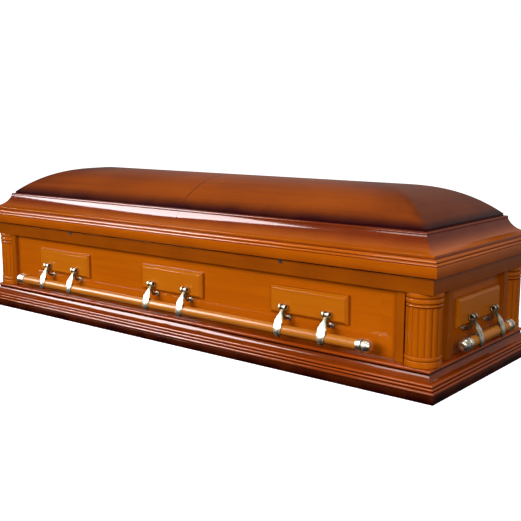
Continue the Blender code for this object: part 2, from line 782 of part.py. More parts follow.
def make_lids():
    down, up, top = lid_frame_rows()
    frame_rows = [(HALF_LENGTH + n, HALF_WIDTH + n, z, 0.0) for n, z in down]
    frame_rows += [(HALF_LENGTH + n, HALF_WIDTH + n, z, SEAM_WALL) for n, z in up]
    foot_z = top + GAP
    outer = [(x, y, z, 0.0) for x, y, z in crown_rows(0.0, 10, foot_z)]
    inner = [(x, y, z, SEAM_WALL) for x, y, z in crown_rows(CROWN_WALL, 6, foot_z)]
    for end, sign in (("head", -1), ("foot", 1)):
        empty = axis_empty(f"axis_{end}_lid", (0, HINGE_Y, HINGE_Z))
        back = (0, -HINGE_Y, -HINGE_Z)
        form = bmesh.new()
        bridged(form, lid_rings(frame_rows, SEAM_GAP / 2, sign), closed=True)
        place(f"lid_frame_{end}", mesh_from(form, "lid_frame"), "front_wood", back, empty)
        form = bmesh.new()
        rings = lid_rings(list(reversed(outer)) + inner, SEAM_GAP / 2, sign)
        bridged(form, rings, closed=False)
        place(f"lid_crown_{end}", mesh_from(form, "crown"), "crown_wood", back, empty, smooth=True)
        make_tab(end, sign, empty)
        make_lid_leaf(end, sign, empty)


def make_tab(end, sign, parent):
    """A lifting tab: a strip under the lid's edge with a tongue bent down over the rail."""
    middle = sign * TAB_FROM_SEAM
    rail_face = -HALF_WIDTH - RAIL_OVERHANG
    strip_top = LID_BOTTOM - GAP
    strip_bottom = strip_top - TAB_PLATE
    tongue_back = rail_face - GAP
    tongue_front = tongue_back - TAB_PLATE
    strip_low = (middle - TAB_LENGTH / 2, tongue_front, strip_bottom)
    strip_high = (middle + TAB_LENGTH / 2, -HALF_WIDTH - LIP_OVERHANG - 2 * GAP, strip_top)
    tongue_low = (middle - TAB_LENGTH / 2, tongue_front, strip_bottom - TAB_DROP)
    tongue_high = (middle - TAB_LENGTH / 2 + TAB_WIDTH, tongue_back, strip_top)
    shapes = [block(strip_low, strip_high, "strip"), block(tongue_low, tongue_high, "tongue")]
    mesh = combined(shapes, [], "tab")
    place(f"lifting_tab_{end}", mesh, "dark_metal", (0, -HINGE_Y, -HINGE_Z), parent)


def hinge_stations():
    """Middles of the knuckle groups of one lid half, as distances from the seam."""
    reach = HALF_LENGTH + LID_BAND_OVERHANG
    return (HINGE_END_MARGIN, reach - HINGE_END_MARGIN)


def hinge_knuckles(starts, length, leaf_low, axis):
    """Knuckles along X, each with the web that joins it to its leaf."""
    shapes = []
    y, z = axis
    for start in starts:
        web_low = (start, y - HINGE_PIN - 0.002, leaf_low)
        web_high = (start + length, y - HINGE_PIN * 0.4, leaf_low + HINGE_LEAF)
        shapes.append(rod_along_x(HINGE_PIN, start, start + length, 6, axis, "knuckle"))
        shapes.append(block(web_low, web_high, "web"))
    return shapes


def make_lid_leaf(end, sign, parent):
    """The hinge leaf under a lid half, with a knuckle at each station."""
    top = LID_BOTTOM - GAP - HINGE_Z
    reach = HALF_LENGTH + LID_BAND_OVERHANG - HINGE_END_MARGIN / 3
    xs = sorted((sign * SEAM_GAP, sign * reach))
    y_high = -HINGE_PIN - GAP
    y_low = HINGE_LEAF_Y - HINGE_Y
    shapes = [block((xs[0], y_low, top - HINGE_LEAF), (xs[1], y_high, top), "leaf")]
    starts = [sign * station - HINGE_KNUCKLE / 2 for station in hinge_stations()]
    shapes += hinge_knuckles(starts, HINGE_KNUCKLE, top - HINGE_LEAF, (0, 0))
    mesh = combined(shapes, [], "leaf")
    place(f"hinge_leaf_{end}", mesh, "pale_brass", (0, 0, 0), parent)


def make_case_leaf():
    """The hinge strap on the rail, with a knuckle on each side of every lid knuckle."""
    bottom = RAIL_TOP + GAP
    reach = HALF_LENGTH + LID_BAND_OVERHANG - HINGE_END_MARGIN / 3
    y_high = HINGE_Y - HINGE_PIN - GAP
    shapes = [block((-reach, HINGE_LEAF_Y, bottom), (reach, y_high, bottom + HINGE_LEAF), "strap")]
    starts = []
    for sign in (-1, 1):
        for station in hinge_stations():
            starts.append(sign * station - HINGE_KNUCKLE - GAP)
            starts.append(sign * station + HINGE_KNUCKLE / 2 + GAP)
    shapes += hinge_knuckles(starts, HINGE_KNUCKLE / 2, bottom, (HINGE_Y, HINGE_Z))
    place("hinge_strap", combined(shapes, [], "strap"), "pale_brass")


clear_scene()
make_base()
make_sides()
make_rail()
make_columns()
make_plaques()
make_handles()
make_lids()
make_case_leaf()
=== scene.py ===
import math
import bmesh
import bpy
from mathutils import Matrix, Vector


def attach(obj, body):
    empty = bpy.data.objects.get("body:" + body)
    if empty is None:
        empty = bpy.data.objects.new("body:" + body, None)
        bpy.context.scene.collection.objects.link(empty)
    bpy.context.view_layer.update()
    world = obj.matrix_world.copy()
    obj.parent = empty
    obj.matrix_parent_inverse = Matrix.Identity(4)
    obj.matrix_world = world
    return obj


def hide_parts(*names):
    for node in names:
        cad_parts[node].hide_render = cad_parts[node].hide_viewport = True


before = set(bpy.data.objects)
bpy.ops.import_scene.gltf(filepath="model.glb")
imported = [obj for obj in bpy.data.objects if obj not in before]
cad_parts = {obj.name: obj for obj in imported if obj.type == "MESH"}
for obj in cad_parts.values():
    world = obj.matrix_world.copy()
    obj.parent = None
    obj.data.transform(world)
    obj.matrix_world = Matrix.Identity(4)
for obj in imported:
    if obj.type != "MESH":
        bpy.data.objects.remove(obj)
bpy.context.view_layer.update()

# Wooden casket, metres, +Z up. The head end is at -X and the front faces -Y.
# Every moulding point is (distance out from the panel faces, height).
case = {"halfLength": 1.004, "halfWidth": 0.308, "baseTop": 0.0896, "railBottom": 0.3075, "gap": 0.0003}


# Outline helpers

def arcPoints(start, end, sag, steps):  # a positive sag bulges to the left of the way
    chord = Vector(end) - Vector(start)
    half = chord.length / 2
    radius = (half * half + sag * sag) / (2 * abs(sag))
    turn = 2 * math.asin(min(1.0, half / radius))
    left = Vector((-chord.y, chord.x)).normalized() * math.copysign(1, sag)
    centre = (Vector(start) + Vector(end)) / 2 + left * (abs(sag) - radius)
    points = []
    for step in range(1, steps + 1):
        angle = turn * (step / steps - 0.5)
        points.append(tuple(centre + chord.normalized() * math.sin(angle) * radius + left * math.cos(angle) * radius))
    return points


def beadRun(point, beads, swell, steps=9, quirk=0.002):  # half-round beads, each with a groove under it
    points = []
    n, z = point
    for height, advance in beads:
        foot = (n + advance, z - height)
        points += arcPoints((n, z), foot, height * swell, steps)
        n, z = foot[0], foot[1] - quirk
        points += [(n - quirk * 0.5, foot[1]), (n - quirk * 0.5, z), (n, z)]
    return points[:-1]


def outlineOf(*moves):  # a move is a point, or a point with the sag and the steps of the arc that leads to it
    points = []
    for x, y, *bow in moves:
        points += arcPoints(points[-1], (x, y), *bow) if bow else [(x, y)]
    return points


def roundedCorner(before, point, after, cut, steps):
    start = point + (before - point).normalized() * cut
    end = point + (after - point).normalized() * cut
    shares = [step / steps for step in range(steps + 1)]
    return [tuple(start * (1 - t) ** 2 + point * (2 * t * (1 - t)) + end * t ** 2) for t in shares]


def softened(points, radius, limit=28, steps=3):  # rounds each corner sharper than limit degrees
    result = []
    count = len(points)
    for here in range(count):
        before, point, after = Vector(points[here - 1]), Vector(points[here]), Vector(points[(here + 1) % count])
        one, two = before - point, after - point
        if one.length < 1e-7 or two.length < 1e-7:
            continue
        bend = 180 - math.degrees(one.angle(two))
        if bend < limit:
            result.append(tuple(point))
            continue
        cut = min(radius * math.tan(math.radians(bend) / 2), one.length * 0.45, two.length * 0.45)
        result += roundedCorner(before, point, after, cut, steps)
    return result


def lengthsAlong(points):
    total = [0.0]
    for a, b in zip(points, points[1:]):
        total.append(total[-1] + (Vector(b) - Vector(a)).length)
    return total


# its marks darken grooves and inner corners as painted shade
def hollows(points, reach=0.0045, full=0.0011):  # 0 on open faces, 1 deep in a groove
    loop = [Vector(p) for p in points]
    area = sum(a.x * b.y - b.x * a.y for a, b in zip(loop, loop[1:] + loop[:1]))
    along = lengthsAlong(points + points[:1])
    whole = along[-1]

    def at(distance):
        distance %= whole
        low = 0
        while along[low + 1] < distance:
            low += 1
        share = (distance - along[low]) / max(along[low + 1] - along[low], 1e-9)
        return loop[low].lerp(loop[(low + 1) % len(loop)], share)

    marks = []
    for here, point in enumerate(loop):
        one, two = at(along[here] - reach), at(along[here] + reach)
        run = (two - one).normalized()
        out = Vector((run.y, -run.x)) * math.copysign(1, area)
        marks.append(max(0.0, min(1.0, ((one + two) / 2 - point).dot(out) / full)))
    return marks


def blendStep(value, low, high):
    t = max(0.0, min(1.0, (value - low) / (high - low)))
    return t * t * (3 - 2 * t)


# Mesh helpers. The UV map "grain" holds metres: along the grain, then across it.
# A float attribute on the points says how dark a piece is painted, from 0 to 1: the shading lacquer, and painted
# shade in grooves, inner corners and gaps.

def newForm():
    form = bmesh.new()
    return form, form.loops.layers.uv.new("grain"), form.verts.layers.float.new("toner")


def finishMesh(form, name, sharp):
    mesh = bpy.data.meshes.new(name)
    form.to_mesh(mesh)
    form.free()
    mesh.shade_smooth()
    mesh.set_sharp_from_angle(angle=math.radians(sharp))
    return mesh


def meshOf(form, name, sharp=32):
    bmesh.ops.remove_doubles(form, verts=form.verts, dist=2e-7)
    bmesh.ops.recalc_face_normals(form, faces=form.faces)
    return finishMesh(form, name, sharp)


def skinRows(form, rows, ends=True):  # quads between closed rows of equally many points
    for low, high in zip(rows, rows[1:]):
        for here in range(len(low)):
            beyond = (here + 1) % len(low)
            form.faces.new((low[here], low[beyond], high[beyond], high[here]))
    if ends:
        form.faces.new(rows[0])
        form.faces.new(rows[-1])


def linked(name, data):
    thing = bpy.data.objects.new(name, data)
    bpy.context.scene.collection.objects.link(thing)
    return thing


def addPiece(name, mesh, material, body, nodes):
    mesh.materials.clear()
    mesh.materials.append(material)
    mesh.name = name
    piece = linked(name, mesh)
    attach(piece, body)
    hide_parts(*nodes)


def giveMaterial(material, *names):  # to nodes carried over from the solids
    for name in names:
        bpy.data.objects[name].material_slots[0].material = material


partShift = Vector((1.37, 0.71))  # metres that the grain moves along and across from one part to the next


def ringForm(rings, tonerAndShades, across, kinds, closeRows=True, shift=0.0):
    # rings of equally many points; kinds says for each side whether the grain runs along x, y or z
    form, grain, toner = newForm()
    rows = []
    for ring, shade in zip(rings, tonerAndShades):
        row = [form.verts.new(point) for point in ring]
        for vert, mark in zip(row, shade if isinstance(shade, list) else [shade] * len(row)):
            vert[toner] = mark
        rows.append(row)
    count = len(rows)
    part = [0]  # sides that run on with the same grain share one lay of it
    for one, two in zip(kinds, kinds[1:]):
        part.append(part[-1] + (one != two))
    for here in range(count if closeRows else count - 1):
        low, high = rows[here], rows[(here + 1) % count]
        v0, v1 = across[here], across[here + 1]
        for side, kind in enumerate(kinds):
            beyond = (side + 1) % len(low)
            corners = (low[side], low[beyond], high[beyond], high[side])
            if len({tuple(round(c, 7) for c in vert.co) for vert in corners}) < 3:
                continue
            face = form.faces.new(corners)
            axis = "xyz".index(kind)
            for loop, v in zip(face.loops, (v0, v0, v1, v1)):
                loop[grain].uv = Vector((loop.vert.co[axis] + shift, v)) + partShift * part[side]
    return form, rows


def turnedMesh(name, profile, sides, matrix, toner=None, shift=0.0):
    # a closed turned shape about local Z from (radius, height) points
    form, grain, shade = newForm()
    rows = []
    for here, (radius, z) in enumerate(profile):
        row = []
        for side in range(sides):
            angle = 2 * math.pi * side / sides
            vert = form.verts.new((radius * math.cos(angle), radius * math.sin(angle), z))
            vert[shade] = toner[here] if toner else 0.0
            row.append(vert)
        rows.append(row)
    along = lengthsAlong(profile)
    wide = max(r for r, _ in profile)
    for here in range(len(rows) - 1):
        low, high = rows[here], rows[here + 1]
        for side in range(sides):
            beyond = (side + 1) % sides
            face = form.faces.new((low[side], low[beyond], high[beyond], high[side]))
            turns = (side, side + 1, side + 1, side)
            for loop, step, v in zip(face.loops, turns, (along[here], along[here], along[here + 1], along[here + 1])):
                loop[grain].uv = (v + shift, 2 * math.pi * wide * step / sides)
    for row, v in ((rows[0], along[0]), (rows[-1], along[-1])):
        face = form.faces.new(row)
        for loop in face.loops:
            loop[grain].uv = (loop.vert.co.x + shift + v, loop.vert.co.y)
    bmesh.ops.transform(form, matrix=matrix, verts=form.verts)
    return meshOf(form, name)


def joinedMesh(name, meshes, sharp=32):
    form = bmesh.new()
    for mesh in meshes:
        form.from_mesh(mesh)
        bpy.data.meshes.remove(mesh)
    return finishMesh(form, name, sharp)


def mirroredTurnings(name, profile, sides, toner):  # one turned shape on each side of the middle, along X
    meshes = []
    for side in (-1, 1):
        turned = [(r, side * z) for r, z in profile]
        meshes.append(turnedMesh(name, turned[::side], sides, alongX, toner[::side]))
    return meshes


alongX = Matrix.Rotation(math.pi / 2, 4, "Y")
fourCorners = [(sx, sy) for sx in (-1, 1) for sy in (-1, 1)]
axisRadius = 0.001  # where a turned profile ends beside its axis


# Node helpers for shaders and for Geometry Nodes

sharedNodes = ("Math", "VectorMath", "CombineXYZ", "SeparateXYZ")  # both sorts of tree know these as shader nodes


def newGroup(name, sockets, sort="ShaderNodeTree"):
    tree = bpy.data.node_groups.new(name, sort)
    for way, kind, label, value in sockets:
        socket = tree.interface.new_socket(name=label, in_out=way, socket_type="NodeSocket" + kind)
        if value is not None:
            socket.default_value = value
    return tree, tree.nodes.new("NodeGroupInput").outputs, tree.nodes.new("NodeGroupOutput").inputs


def addNode(tree, kind, settings=None, **values):  # i0, i1 and so on name a socket by its place
    ofShaders = tree.type == "SHADER" or kind in sharedNodes
    node = tree.nodes.new(("ShaderNode" if ofShaders else "GeometryNode") + kind)
    for key, value in (settings or {}).items():
        setattr(node, key, value)
    for key, value in values.items():
        byPlace = key[0] == "i" and key[1:].isdigit()
        socket = node.inputs[int(key[1:]) if byPlace else key.replace("_", " ")]
        if isinstance(value, bpy.types.NodeSocket):
            tree.links.new(value, socket)
        else:
            socket.default_value = value
    return node


def mathNode(tree, operation, a, b=0.0, c=0.0, clamp=False):
    return addNode(tree, "Math", {"operation": operation, "use_clamp": clamp}, i0=a, i1=b, i2=c).outputs[0]


def times(tree, a, b, clamp=False):
    return mathNode(tree, "MULTIPLY", a, b, clamp=clamp)


def vectorOf(tree, x=0.0, y=0.0, z=0.0):
    return addNode(tree, "CombineXYZ", None, X=x, Y=y, Z=z).outputs[0]


def mixColour(tree, factor, a, b):
    return addNode(tree, "Mix", {"data_type": "RGBA"}, i0=factor, i6=a, i7=b).outputs[2]


def rangeNode(tree, value, low, high, start=0.0, end=1.0):
    return addNode(tree, "MapRange", None, i0=value, i1=low, i2=high, i3=start, i4=end).outputs[0]


def scaled(tree, vector, scale):
    return addNode(tree, "Mapping", None, Vector=vector, Scale=scale).outputs[0]


def noiseNode(tree, vector, scale, detail, rough=0.5, twist=0.0):
    return addNode(tree, "TexNoise", None, Vector=vector, Scale=scale, Detail=detail, Roughness=rough,
                   Distortion=twist).outputs[0]


# Noise scales run along the grain, across it and through it; a range says where a mask starts and is full.
figuring = {"wander": (1.3, 5.0, 1.0), "bend": (1, 0.030, 1), "flame": (1.1, 34.0, 1.0), "streak": (2.6, 210.0, 1.0),
            "pore": (34.0, 1500.0, 1.0), "cloud": 2.3, "flameShare": 0.62, "streakShare": 0.38,
            "figureRange": (0.30, 0.72), "cloudRange": (0.32, 0.70), "poreRange": (0.60, 0.74),
            "sheenRange": (0.25, 0.75)}
shading = {"cloud": 9.0, "uneven": 0.35, "middle": -0.17, "from": (0.0, 0.25)}
patina = {"spots": 110.0, "fine": 420.0, "spotRange": (0.48, 0.75), "grit": 0.14, "least": 0.12, "dulling": 0.30,
          "fineHeight": 0.3}


def makeGrainGroup():
    tree, come, go = newGroup("stainedGrain", [
        ("INPUT", "Vector", "Grain", None), ("INPUT", "Vector", "Place", None),
        ("INPUT", "Color", "Light", (0.5, 0.2, 0.05, 1)), ("INPUT", "Color", "Dark", (0.2, 0.05, 0.01, 1)),
        ("INPUT", "Float", "Figure", 0.5), ("INPUT", "Float", "Cloud", 0.4), ("INPUT", "Float", "Pores", 0.5),
        ("OUTPUT", "Color", "Color", None), ("OUTPUT", "Float", "Height", None), ("OUTPUT", "Float", "Sheen", None)])
    vector = come["Grain"]
    wander = noiseNode(tree, scaled(tree, vector, figuring["wander"]), 1.0, 2.0)
    bent = addNode(tree, "VectorMath", {"operation": "MULTIPLY_ADD"}, i0=vectorOf(tree, y=wander),
                   i1=figuring["bend"], i2=vector).outputs[0]
    flame = noiseNode(tree, scaled(tree, bent, figuring["flame"]), 1.0, 3.0, 0.55, 0.35)
    streak = noiseNode(tree, scaled(tree, bent, figuring["streak"]), 1.0, 3.0, 0.6)
    pore = noiseNode(tree, scaled(tree, vector, figuring["pore"]), 1.0, 1.0)
    cloud = noiseNode(tree, come["Place"], figuring["cloud"], 2.0)
    flames, streaks = (rangeNode(tree, noise, *figuring["figureRange"]) for noise in (flame, streak))
    streaks = times(tree, streaks, figuring["streakShare"])
    figure = mathNode(tree, "MULTIPLY_ADD", flames, figuring["flameShare"], streaks)
    clouded = times(tree, rangeNode(tree, cloud, *figuring["cloudRange"]), come["Cloud"])
    shade = mathNode(tree, "MULTIPLY_ADD", figure, come["Figure"], clouded, clamp=True)
    dots = rangeNode(tree, pore, *figuring["poreRange"])
    colour = mixColour(tree, shade, come["Light"], come["Dark"])
    dotShade = times(tree, dots, come["Pores"], clamp=True)
    tree.links.new(mixColour(tree, dotShade, colour, come["Dark"]), go["Color"])
    tree.links.new(times(tree, mathNode(tree, "SUBTRACT", streak, dots), 0.5), go["Height"])
    tree.links.new(rangeNode(tree, flame, *figuring["sheenRange"]), go["Sheen"])
    return tree


def makeTonerGroup():
    # mixes the tint in by the mask, for the shading lacquer and for painted shade alike
    tree, come, go = newGroup("lacquerAndPaintedShade", [
        ("INPUT", "Color", "Color", (0.5, 0.2, 0.05, 1)), ("INPUT", "Float", "Toner", 0.0),
        ("INPUT", "Vector", "Place", None), ("INPUT", "Color", "Tint", (0.06, 0.008, 0.003, 1)),
        ("INPUT", "Float", "Amount", 1.0), ("OUTPUT", "Color", "Color", None)])
    cloud = noiseNode(tree, come["Place"], shading["cloud"], 3.0, 0.6)
    spread = mathNode(tree, "MULTIPLY_ADD", cloud, shading["uneven"], shading["middle"])
    there = rangeNode(tree, come["Toner"], *shading["from"])  # bare wood stays even
    mask = mathNode(tree, "MULTIPLY_ADD", spread, there, come["Toner"], clamp=True)
    mask = times(tree, mask, come["Amount"], clamp=True)
    tree.links.new(mixColour(tree, mask, come["Color"], come["Tint"]), go["Color"])
    return tree


def makePatinaGroup():
    tree, come, go = newGroup("castPatina", [
        ("INPUT", "Vector", "Place", None), ("INPUT", "Float", "Hollow", 0.0),
        ("INPUT", "Color", "Bright", (0.9, 0.8, 0.6, 1)), ("INPUT", "Color", "Dull", (0.2, 0.15, 0.06, 1)),
        ("INPUT", "Float", "Tarnish", 0.4), ("OUTPUT", "Color", "Color", None),
        ("OUTPUT", "Float", "Roughness", None), ("OUTPUT", "Float", "Height", None)])
    spots = noiseNode(tree, come["Place"], patina["spots"], 4.0, 0.6)
    fine = noiseNode(tree, come["Place"], patina["fine"], 2.0)
    worn = times(tree, rangeNode(tree, spots, *patina["spotRange"]), come["Tarnish"])
    # the mask darkens patina in hollows, and paints shade in the arm heads' hole
    dull = mathNode(tree, "ADD", worn, come["Hollow"], clamp=True)
    tree.links.new(mixColour(tree, dull, come["Bright"], come["Dull"]), go["Color"])
    polish = mathNode(tree, "MULTIPLY_ADD", fine, patina["grit"], patina["least"])
    tree.links.new(mathNode(tree, "MULTIPLY_ADD", dull, patina["dulling"], polish), go["Roughness"])
    tree.links.new(mathNode(tree, "MULTIPLY_ADD", fine, patina["fineHeight"], spots), go["Height"])
    return tree


grainGroup, tonerAndShadeGroup, patinaGroup = makeGrainGroup(), makeTonerGroup(), makePatinaGroup()


def startMaterial(name, values):
    material = bpy.data.materials.new(name)
    material.use_nodes = True
    tree = material.node_tree
    shader = tree.nodes["Principled BSDF"]
    for key, value in values.items():
        shader.inputs[key].default_value = value
    place = addNode(tree, "TexCoord").outputs["Object"]
    toner = addNode(tree, "Attribute", {"attribute_name": "toner"}).outputs["Fac"]
    return material, tree, shader, place, toner


def useGroup(tree, group, **links):
    node = tree.nodes.new("ShaderNodeGroup")
    node.node_tree = group
    for key, value in links.items():
        if isinstance(value, bpy.types.NodeSocket):
            tree.links.new(value, node.inputs[key])
        else:
            node.inputs[key].default_value = value
    return node.outputs


def woodMaterial(name, look):
    material, tree, shader, place, toner = startMaterial(name, {
        "Coat Weight": look["coat"], "Coat Roughness": look["coatRoughness"], "Coat IOR": 1.5,
        "Specular IOR Level": look["specular"]})
    # a carried-over board has no grain map, and its grain follows its own length
    vector = place if look.get("carriedOver") else addNode(tree, "UVMap", {"uv_map": "grain"}).outputs[0]
    grain = useGroup(tree, grainGroup, Grain=vector, Place=place, Light=(*look["light"], 1), Dark=(*look["dark"], 1),
                     Figure=look["figure"], Cloud=look["cloud"], Pores=look["pores"])
    shade = useGroup(tree, tonerAndShadeGroup, Color=grain["Color"], Toner=toner, Place=place, Tint=(*look["toner"], 1),
                     Amount=look["tonerAndShadeAmount"])
    tree.links.new(shade["Color"], shader.inputs["Base Color"])
    low, high = look["roughness"]
    tree.links.new(rangeNode(tree, grain["Sheen"], 0.0, 1.0, low, high), shader.inputs["Roughness"])
    bump = addNode(tree, "Bump", None, Strength=look["bump"], Distance=0.0004, Height=grain["Height"])
    tree.links.new(bump.outputs[0], shader.inputs["Normal"])
    return material


def metalMaterial(name, look):
    material, tree, shader, place, toner = startMaterial(name, {"Metallic": look["metallic"]})
    coat = useGroup(tree, patinaGroup, Place=place, Hollow=toner, Bright=(*look["bright"], 1),
                    Dull=(*look["dull"], 1), Tarnish=look["tarnish"])
    tree.links.new(coat["Color"], shader.inputs["Base Color"])
    tree.links.new(mathNode(tree, "ADD", coat["Roughness"], look["roughness"]), shader.inputs["Roughness"])
    bump = addNode(tree, "Bump", None, Strength=look["bump"], Distance=0.0003, Height=coat["Height"])
    tree.links.new(bump.outputs[0], shader.inputs["Normal"])
    return material


lacquer = {"coat": 0.55, "coatRoughness": 0.09, "specular": 0.0, "roughness": (0.38, 0.50), "figure": 0.42,
           "cloud": 0.22, "pores": 0.35, "bump": 0.12, "tonerAndShadeAmount": 0.9}
orangeLook = dict(lacquer, light=(0.56, 0.130, 0.002), dark=(0.30, 0.050, 0.001), toner=(0.070, 0.010, 0.002))
plaqueLook = dict(lacquer, light=(0.57, 0.160, 0.005), dark=(0.36, 0.074, 0.002), toner=(0.10, 0.015, 0.003),
                  figure=0.35)
lidLook = dict(lacquer, light=(0.54, 0.122, 0.002), dark=(0.27, 0.043, 0.001), toner=(0.115, 0.011, 0.002))
redLook = dict(lacquer, light=(0.42, 0.072, 0.004), dark=(0.17, 0.018, 0.002), toner=(0.014, 0.001, 0.001),
               tonerAndShadeAmount=1.0)
crownLook = dict(lacquer, light=(0.33, 0.064, 0.002), dark=(0.135, 0.020, 0.001), toner=(0.026, 0.001, 0.001),
                 cloud=0.35, coat=0.34, coatRoughness=0.20, tonerAndShadeAmount=1.0)
poleLook = dict(lacquer, light=(0.60, 0.210, 0.020), dark=(0.36, 0.085, 0.006), toner=(0.10, 0.016, 0.004),
                figure=0.35, coatRoughness=0.24)
insideLook = dict(lacquer, coat=0.0, roughness=(0.48, 0.62), light=(0.62, 0.40, 0.20), dark=(0.40, 0.22, 0.09),
                  toner=(0.2, 0.1, 0.04), pores=0.6, carriedOver=True)

orangeWood = woodMaterial("orangeStainedWood", orangeLook)
plaqueWood = woodMaterial("plaqueStainedWood", plaqueLook)
lidWood = woodMaterial("lidStainedWood", lidLook)
redWood = woodMaterial("redStainedWood", redLook)
crownWood = woodMaterial("crownStainedWood", crownLook)
poleWood = woodMaterial("poleStainedWood", poleLook)
insideWood = woodMaterial("plainInsideWood", insideLook)
paleBrass = metalMaterial("palePolishedBrass", {
    "bright": (0.93, 0.87, 0.70), "dull": (0.085, 0.066, 0.026), "tarnish": 0.32, "metallic": 1.0,
    "roughness": 0.07, "bump": 0.25})
hingeBrass = metalMaterial("plainHingeBrass", {
    "bright": (0.50, 0.38, 0.17), "dull": (0.18, 0.12, 0.04), "tarnish": 0.5, "metallic": 1.0,
    "roughness": 0.22, "bump": 0.2})
darkMetal = metalMaterial("darkTabMetal", {
    "bright": (0.035, 0.028, 0.022), "dull": (0.012, 0.010, 0.009), "tarnish": 0.5, "metallic": 0.6,
    "roughness": 0.20, "bump": 0.3})
print("materials made")


# Base moulding

base = {"ledge": 0.0207, "nosing": 0.0053, "coveOut": 0.0188, "coveDrop": 0.0240, "coveBow": 0.2,
        "beads": ((0.0080, 0.0035), (0.0070, 0.0035), (0.0100, 0.0049)), "swell": 0.30, "skirt": 0.024,
        "plate": 0.022, "innerReach": 0.123, "rebate": 0.018, "rebateDepth": 0.0116, "ease": 0.002, "soft": 0.0007,
        "footTone": (0.018, 0.040), "ledgeShade": 0.35}


def frameRings(profile):
    rings = []
    for n, z in profile:
        x, y = case["halfLength"] + n, case["halfWidth"] + n
        rings.append([(x, -y, z), (x, y, z), (-x, y, z), (-x, -y, z)])
    return rings


def makeBase():
    top, ledge, ease, skirt = case["baseTop"], base["ledge"], base["ease"], base["skirt"]
    noseFoot = top - 2 * base["nosing"]
    coveFoot = (ledge + base["coveOut"], noseFoot - base["coveDrop"])
    points = outlineOf((ledge, top), (ledge, noseFoot, base["nosing"], 10),
                       (*coveFoot, -base["coveDrop"] * base["coveBow"], 10))
    points += beadRun(coveFoot, base["beads"], base["swell"])
    face, fasciaTop = points[-1][0] + ease, points[-1][1]
    inner, step = -base["innerReach"], -base["innerReach"] + base["rebate"]
    plateFoot, rebateFoot = top - base["plate"], top - base["rebateDepth"]
    points += [(face, fasciaTop), (face, ease), (face - ease, 0.0), (face - skirt, 0.0), (face - skirt, fasciaTop),
               (ledge - skirt, plateFoot), (inner, plateFoot), (inner, rebateFoot), (step, rebateFoot), (step, top)]
    points = softened(points, base["soft"])
    # painted shade in the grooves and on the ledge beside the panel's foot; the toner darkens the fascia towards the
    # bottom
    tonerAndShades = []
    for (n, z), mark in zip(points, hollows(points)):
        low = 1 - blendStep(z, *base["footTone"])
        ledgeCornerShade = base["ledgeShade"] * blendStep(z, top - 0.004, top) * (1 - blendStep(n, 0.0, ledge * 0.9))
        tonerAndShades.append(min(1.0, max(mark, low, ledgeCornerShade)))
    form, _ = ringForm(frameRings(points), tonerAndShades, lengthsAlong(points + points[:1]), "yxyx")
    addPiece("baseMoulding", meshOf(form, "baseMoulding"), redWood, "case", ["base_moulding"])


makeBase()
print("base made")


# Case boards: panel, proud stile and the wall of the corner notch

boards = {"thick": 0.020, "proud": 0.016, "stile": 0.027, "lip": 0.0165, "lipBevel": 0.024, "notchX": 0.9215,
          "notchY": 0.211, "edge": 0.0012, "stileTone": 0.36,
          "fade": (0.060, 0.020),  # how far from a stile its darkening ends and begins
          # painted shade on each panel: at its foot above the ledge and under the pole, and beneath the rail's
          # overhang
          "footTones": ((0.0, 0.80), (0.010, 0.35), (0.034, 0.0)),  # height above the foot and the painted shade there
          "headTones": ((0.024, 0.0), (0.008, 0.12), (0.0, 0.40))}


def boardMesh(name, half, turnPoint):
    outline = softened(half + [(-x, y) for x, y in reversed(half)], boards["edge"])
    along = lengthsAlong(outline + outline[:1])
    marks = hollows(outline, 0.006, 0.004)
    low, high = case["baseTop"] + case["gap"], case["railBottom"] - case["gap"]
    levels = [(low + up, tone) for up, tone in boards["footTones"]]
    levels += [(high - down, tone) for down, tone in boards["headTones"]]
    form, grain, toner = newForm()
    rows = []
    for z, shade in levels:
        row = []
        for spot, mark in zip(outline, marks):
            vert = form.verts.new((*turnPoint(spot), z))
            stile = boards["stileTone"] if abs(spot[1]) > abs(half[0][1]) + boards["proud"] * 0.9 else 0.0
            # painted shade at the foot, at the head and in the inner corner by the stile; the stile's face is toned
            # darker
            vert[toner] = max(shade, mark * 0.5, stile)
            row.append(vert)
        rows.append(row)
    skinRows(form, rows)
    form.faces.ensure_lookup_table()
    for step, ((z0, _), (z1, _)) in enumerate(zip(levels, levels[1:])):
        for here in range(len(outline)):
            u0, u1 = along[here], along[here + 1]
            upright = abs(u1 - u0) < boards["stile"] * 1.05
            face = form.faces[step * len(outline) + here]
            for loop, (u, v) in zip(face.loops, ((u0, z0), (u1, z0), (u1, z1), (u0, z1))):
                loop[grain].uv = (v + 3.1, u) if upright else (u, v)
    return meshOf(form, name)


